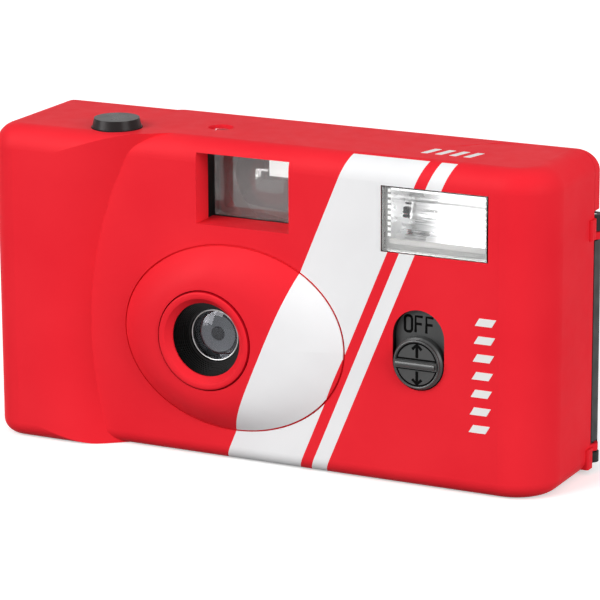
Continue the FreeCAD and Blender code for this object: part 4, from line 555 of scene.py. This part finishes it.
# A thin black ring painted as the shade in the sunken line round the knob's face.
knob_detail("groove_shade", letter_and_shade_black, [(circle(KNOB_GROOVE), True)], width=0.3, flat=0.2)
knob_detail("ridge_crest", knob_grey, [([(-CREST_HALF, 0), (CREST_HALF, 0)], False)], width=1.15,
            flat=0.75, depth=CREST_DEPTH)
for rise, name in ((SHADE_RISE, "upper"), (-SHADE_RISE, "lower")):
    knob_detail("ridge_shade_" + name, letter_and_shade_black, [([(-SHADE_HALF, rise), (SHADE_HALF, rise)], False)],
                width=0.34, flat=0.25)

# Numbers of the frame counter, in a ring on its dial
DIAL_X, DIAL_DEPTH = middle_of("counter_dial").xy
DIAL_TOP = limits_of("counter_dial")[1].z
NUMBER_COUNT, NUMBER_STEP = 12, 3
NUMBER_RING, NUMBER_TALL, NUMBER_THICK, NUMBER_LIFT = 5.8, 1.5, 0.06, 0.02
# The height of a digit as a share of the type size
DIGIT_SHARE = 0.7


def words(text, height, depth):
    """The mesh of a line of raised lettering, lying in XY and centred on its own origin."""
    curve = bpy.data.curves.new("letters", "FONT")
    curve.body = text
    curve.size = height * MM / DIGIT_SHARE
    curve.align_x, curve.align_y = "CENTER", "CENTER"
    curve.extrude = depth / 2 * MM
    return mesh_of(curve)


for place in range(NUMBER_COUNT):
    turn = 2 * math.pi * place / NUMBER_COUNT
    number = place * NUMBER_STEP
    mesh = words(str(number), NUMBER_TALL, NUMBER_THICK)
    mesh.transform(Matrix.Translation(at(DIAL_X, DIAL_DEPTH, DIAL_TOP))
                   @ Matrix.Rotation(turn, 4, "Z")
                   @ Matrix.Translation(Vector((NUMBER_RING, 0, NUMBER_LIFT)) * MM)
                   @ Matrix.Rotation(-math.pi / 2, 4, "Z"))
    piece_from("dial_number_%d" % number, mesh, white_ink, "frame_counter")

# Frame behind the glass of the flash window, with short white bars painted as highlights on the ribs of the
# glass
glass_low, glass_high = limits_of("flash_lens")
FRAME_LEFT, FRAME_RIGHT = glass_low.x + 0.02, glass_high.x - 0.02
FRAME_BASE, FRAME_TOP = glass_low.z + 0.03, glass_high.z - 0.02
FRAME_FRONT, FRAME_REAR = glass_high.y + 0.02, limits_of("flash_reflector")[0].y + 0.02
OPEN_LEFT, OPEN_RIGHT, OPEN_BASE, OPEN_TOP = 26.55, 45.75, 46.85, 57.6
LIP_FRONT, LIP_BASE, LIP_STEP, LIP_TOP = FRAME_FRONT - 0.01, 46.87, 47.7, 47.95
RUNG_FRONT, RUNG_REAR = FRAME_FRONT - 0.015, FRAME_FRONT + 0.08
RUNG_BASE, RUNG_PITCH, RUNG_COUNT = 48.3, 1.06, 9


def blocks_of(name, boxes, material, soft):
    """One piece of boxes with soft edges, each as X, depth and Z limits in millimetres."""
    shape = bmesh.new()
    for left, right, front, rear, low, high in boxes:
        made = bmesh.ops.create_cube(shape, size=1.0)["verts"]
        size = Vector((right - left, rear - front, high - low)) * MM
        bmesh.ops.scale(shape, vec=size, verts=made)
        bmesh.ops.translate(shape, vec=at((left + right) / 2, (front + rear) / 2, (low + high) / 2),
                            verts=made)
        edges = {edge for vert in made for edge in vert.link_edges}
        bmesh.ops.bevel(shape, geom=list(edges), offset=soft * MM, segments=2, affect="EDGES")
    piece_of_shape(name, shape, material, "camera_body")


def rungs(left, right, tall):
    """The boxes of a ladder of short bars up one side of the frame, which stand for highlights on the ribs
    of the glass.
    """
    levels = [RUNG_BASE + RUNG_PITCH * place for place in range(RUNG_COUNT)]
    return [(left, right, RUNG_FRONT, RUNG_REAR, level, level + tall) for level in levels]


frame_grey = moulded("flash_frame_grey", (0.20, 0.20, 0.195), (0.26, 0.26, 0.25), 0.35, 3000, 0.00001)
frame_pale = moulded("flash_frame_pale", (0.36, 0.355, 0.35), (0.42, 0.41, 0.40), 0.35, 3000, 0.00001)
rib_highlight_white = moulded("flash_rib_highlight_white", (0.86, 0.86, 0.86), (0.92, 0.92, 0.92), 0.3, 3000, 0.00001)
blocks_of("flash_frame_bars",
          [(FRAME_LEFT, OPEN_LEFT, FRAME_FRONT, FRAME_REAR, FRAME_BASE, FRAME_TOP),
           (OPEN_RIGHT, FRAME_RIGHT, FRAME_FRONT, FRAME_REAR, FRAME_BASE, FRAME_TOP),
           (OPEN_LEFT, OPEN_RIGHT, FRAME_FRONT, FRAME_REAR, FRAME_BASE, OPEN_BASE),
           (OPEN_LEFT, OPEN_RIGHT, FRAME_FRONT, FRAME_REAR, OPEN_TOP, FRAME_TOP)],
          frame_grey, soft=0.04)
blocks_of("flash_frame_lip",
          [(OPEN_LEFT - 0.25, OPEN_RIGHT + 0.15, LIP_FRONT, FRAME_REAR, LIP_BASE, LIP_STEP),
           (OPEN_LEFT - 0.05, OPEN_RIGHT + 0.05, RUNG_REAR, FRAME_REAR, LIP_STEP, LIP_TOP)],
          frame_pale, soft=0.04)
blocks_of("flash_rib_highlights",
          rungs(OPEN_LEFT - 0.6, OPEN_LEFT + 0.05, 0.55) + rungs(OPEN_RIGHT - 0.03, OPEN_RIGHT + 0.23, 0.3),
          rib_highlight_white, soft=0.03)

# Bright rim round the taking lens
LENS_RIM_RADIUS, LENS_RIM_WIDTH, LENS_RIM_DEPTH = 4.98, 0.3, 0.62
lens_rim = strokes([(circle(LENS_RIM_RADIUS), True)], LENS_RIM_WIDTH, 1.0)
lens_rim.transform(facing_front(LENS_X, LENS_RIM_DEPTH, LENS_Z))
piece_from("front_lens_bright_rim", lens_rim, rim_grey, "camera_body")

# Printed rows of slanted bars on the front and the top
INK_TOP, INK_FOOT = 0.05, -0.04


def row_of_bars(count, first, pitch, size, slant):
    """The corners of bars that lean by slant; first is the lower left corner of the first bar."""
    wide, high = size
    row = []
    for place in range(count):
        left, low = first[0] + pitch[0] * place, first[1] + pitch[1] * place
        row.append([(left, low), (left + wide, low),
                    (left + wide + slant, low + high), (left + slant, low + high)])
    return row


def print_bars(name, outlines, spot):
    """One piece of thin white bars; spot places a corner at a height above the surface."""
    shape = bmesh.new()
    for corners in outlines:
        outer = [shape.verts.new(spot(along, across, INK_TOP)) for along, across in corners]
        inner = [shape.verts.new(spot(along, across, INK_FOOT)) for along, across in corners]
        shape.faces.new(outer)
        shape.faces.new(inner[::-1])
        for first in range(4):
            second = (first + 1) % 4
            shape.faces.new((outer[second], outer[first], inner[first], inner[second]))
    bmesh.ops.recalc_face_normals(shape, faces=shape.faces)
    piece_of_shape(name, shape, white_ink, "camera_body")


front_row = row_of_bars(count=7, first=(43.2, 12.6), pitch=(0.18, 3.45), size=(3.4, 1.5), slant=0.9)
top_row = row_of_bars(count=4, first=(29.4, 8.2), pitch=(2.9, 0), size=(1.35, 4.2), slant=1.1)
print_bars("side_ticks", front_row, lambda x, z, height: at(x, -height, z))
print_bars("top_ticks", top_row, lambda x, depth, height: at(x, depth, CASE_TOP + height))

# Springs, each listed with its joint and copied to a coil on the camera body in place of its CAD piece
SPRINGS = {"button_spring": "shutter_press", "release_spring": "rewind_release_press",
           "latch_spring": "door_latch_slide"}
for node, joint_name in SPRINGS.items():
    coil = bpy.data.objects.new(node + "_coil", frame["nodes"][node].data.copy())
    bpy.context.scene.collection.objects.link(coil)
    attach(coil, "camera_body")
    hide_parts(node)
    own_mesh(coil)

# Floor and surroundings, white to the camera and in gloss and glass, with sizes in metres
FLOOR_HALF, FLOOR_GAP = 3, 0.0001
GLOW_NEAR, GLOW_FAR, NEAR, FAR = 0.42, 0.66, 0.3, 0.9
FLOOR_COLOUR, FLOOR_SHADE = (0.9, 0.9, 0.9), (0.2, 0.2, 0.2, 1)
WORLD_LIGHT = 0.42


def show_behind(tree, plain, shown, surface):
    """Sends the shown shader to camera, glossy and transmission rays, and the plain one to the others."""
    path = tree.nodes.new("ShaderNodeLightPath")
    showing = path.outputs["Is Camera Ray"]
    for ray in ("Is Glossy Ray", "Is Transmission Ray"):
        either = tree.nodes.new("ShaderNodeMath")
        either.operation = "MAXIMUM"
        tree.links.new(showing, either.inputs[0])
        tree.links.new(path.outputs[ray], either.inputs[1])
        showing = either.outputs[0]
    choose = tree.nodes.new("ShaderNodeMixShader")
    tree.links.new(showing, choose.inputs[0])
    tree.links.new(plain.outputs[0], choose.inputs[1])
    tree.links.new(shown.outputs[0], choose.inputs[2])
    tree.links.new(choose.outputs[0], surface)


floor_look = new_material("floor_white", FLOOR_COLOUR, 0.9)
tree = floor_look.node_tree
glow = add(floor_look, "ShaderNodeEmission", Color=(1, 1, 1, 1))
reach = add(floor_look, "ShaderNodeVectorMath", operation="LENGTH")
link(floor_look, object_place(floor_look), reach.inputs[0])
glow_strength = ranged(floor_look, reach.outputs["Value"], GLOW_NEAR, GLOW_FAR, NEAR, FAR)
link(floor_look, glow_strength, glow.inputs["Strength"])
dim = add(floor_look, "ShaderNodeBsdfDiffuse", Color=FLOOR_SHADE)
total = add(floor_look, "ShaderNodeAddShader")
link(floor_look, shader_of(floor_look).outputs[0], total.inputs[0])
link(floor_look, glow.outputs[0], total.inputs[1])
show_behind(tree, dim, total, tree.nodes["Material Output"].inputs["Surface"])

floor_mesh = bpy.data.meshes.new("floor")
floor_corners = [(x * FLOOR_HALF, y * FLOOR_HALF, 0) for x, y in ((-1, -1), (1, -1), (1, 1), (-1, 1))]
floor_mesh.from_pydata(floor_corners, [], [(0, 1, 2, 3)])
floor_mesh.materials.append(floor_look)
floor = bpy.data.objects.new("floor", floor_mesh)
bpy.context.scene.collection.objects.link(floor)
floor.location.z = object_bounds()[0][2] - FLOOR_GAP

world = bpy.data.worlds.new("studio")
bpy.context.scene.world = world
world.use_nodes = True
tree = world.node_tree
plain = tree.nodes["Background"]
white = tree.nodes.new("ShaderNodeBackground")
for background, strength in ((plain, WORLD_LIGHT), (white, 1.0)):
    background.inputs["Color"].default_value = (1, 1, 1, 1)
    background.inputs["Strength"].default_value = strength
show_behind(tree, plain, white, tree.nodes["World Output"].inputs["Surface"])

# Lamps, whose places and sizes are in metres and whose powers are in watts
LAMP_TARGET = (0, 0, 0.03)


def softbox(name, place, size, power):
    """A soft lamp that faces the middle of the camera."""
    light = bpy.data.lights.new(name, "AREA")
    light.shape = "RECTANGLE"
    light.size, light.size_y = size
    light.energy = power
    lamp = bpy.data.objects.new(name, light)
    bpy.context.scene.collection.objects.link(lamp)
    lamp.location = place
    lamp.rotation_euler = (Vector(LAMP_TARGET) - Vector(place)).to_track_quat("-Z", "Y").to_euler()
    return lamp


softbox("key", (-0.36, -0.90, 0.62), (0.4, 0.5), 5.9)
softbox("fill", (1.05, -0.36, 0.34), (0.6, 0.6), 8.4)
softbox("strip", (-0.82, -0.82, 0.42), (0.3, 1.1), 4.6)
# The card shows in gloss and glass only
card = softbox("card", (-0.84, -0.84, 0.75), (0.85, 1.5), 38)
card.visible_diffuse = False

# Viewpoint, to the right of the front and above it, with lengths in millimetres
AZIMUTH, RISE, ROLL = math.radians(26.58), math.radians(15.0), math.radians(-0.3)
AIM, DISTANCE = Vector((8.13, -14, 34.07)), 653.58
FOCAL_LENGTH, SENSOR_WIDTH = 206.9, 36.0
behind = Vector((math.sin(AZIMUTH) * math.cos(RISE), -math.cos(AZIMUTH) * math.cos(RISE),
                 math.sin(RISE)))
level = Vector((math.cos(AZIMUTH), math.sin(AZIMUTH), 0))
upright = behind.cross(level)
side = level * math.cos(ROLL) + upright * math.sin(ROLL)
up = upright * math.cos(ROLL) - level * math.sin(ROLL)
lens = bpy.data.cameras.new("camera")
lens.lens = FOCAL_LENGTH
lens.sensor_width = SENSOR_WIDTH
eye = bpy.data.objects.new("camera", lens)
bpy.context.scene.collection.objects.link(eye)
turn = Matrix((side, up, behind)).transposed().to_4x4()
eye.matrix_world = Matrix.Translation((AIM + behind * DISTANCE) * MM) @ turn
bpy.context.scene.camera = eye
bpy.context.scene.view_settings.view_transform = "Standard"
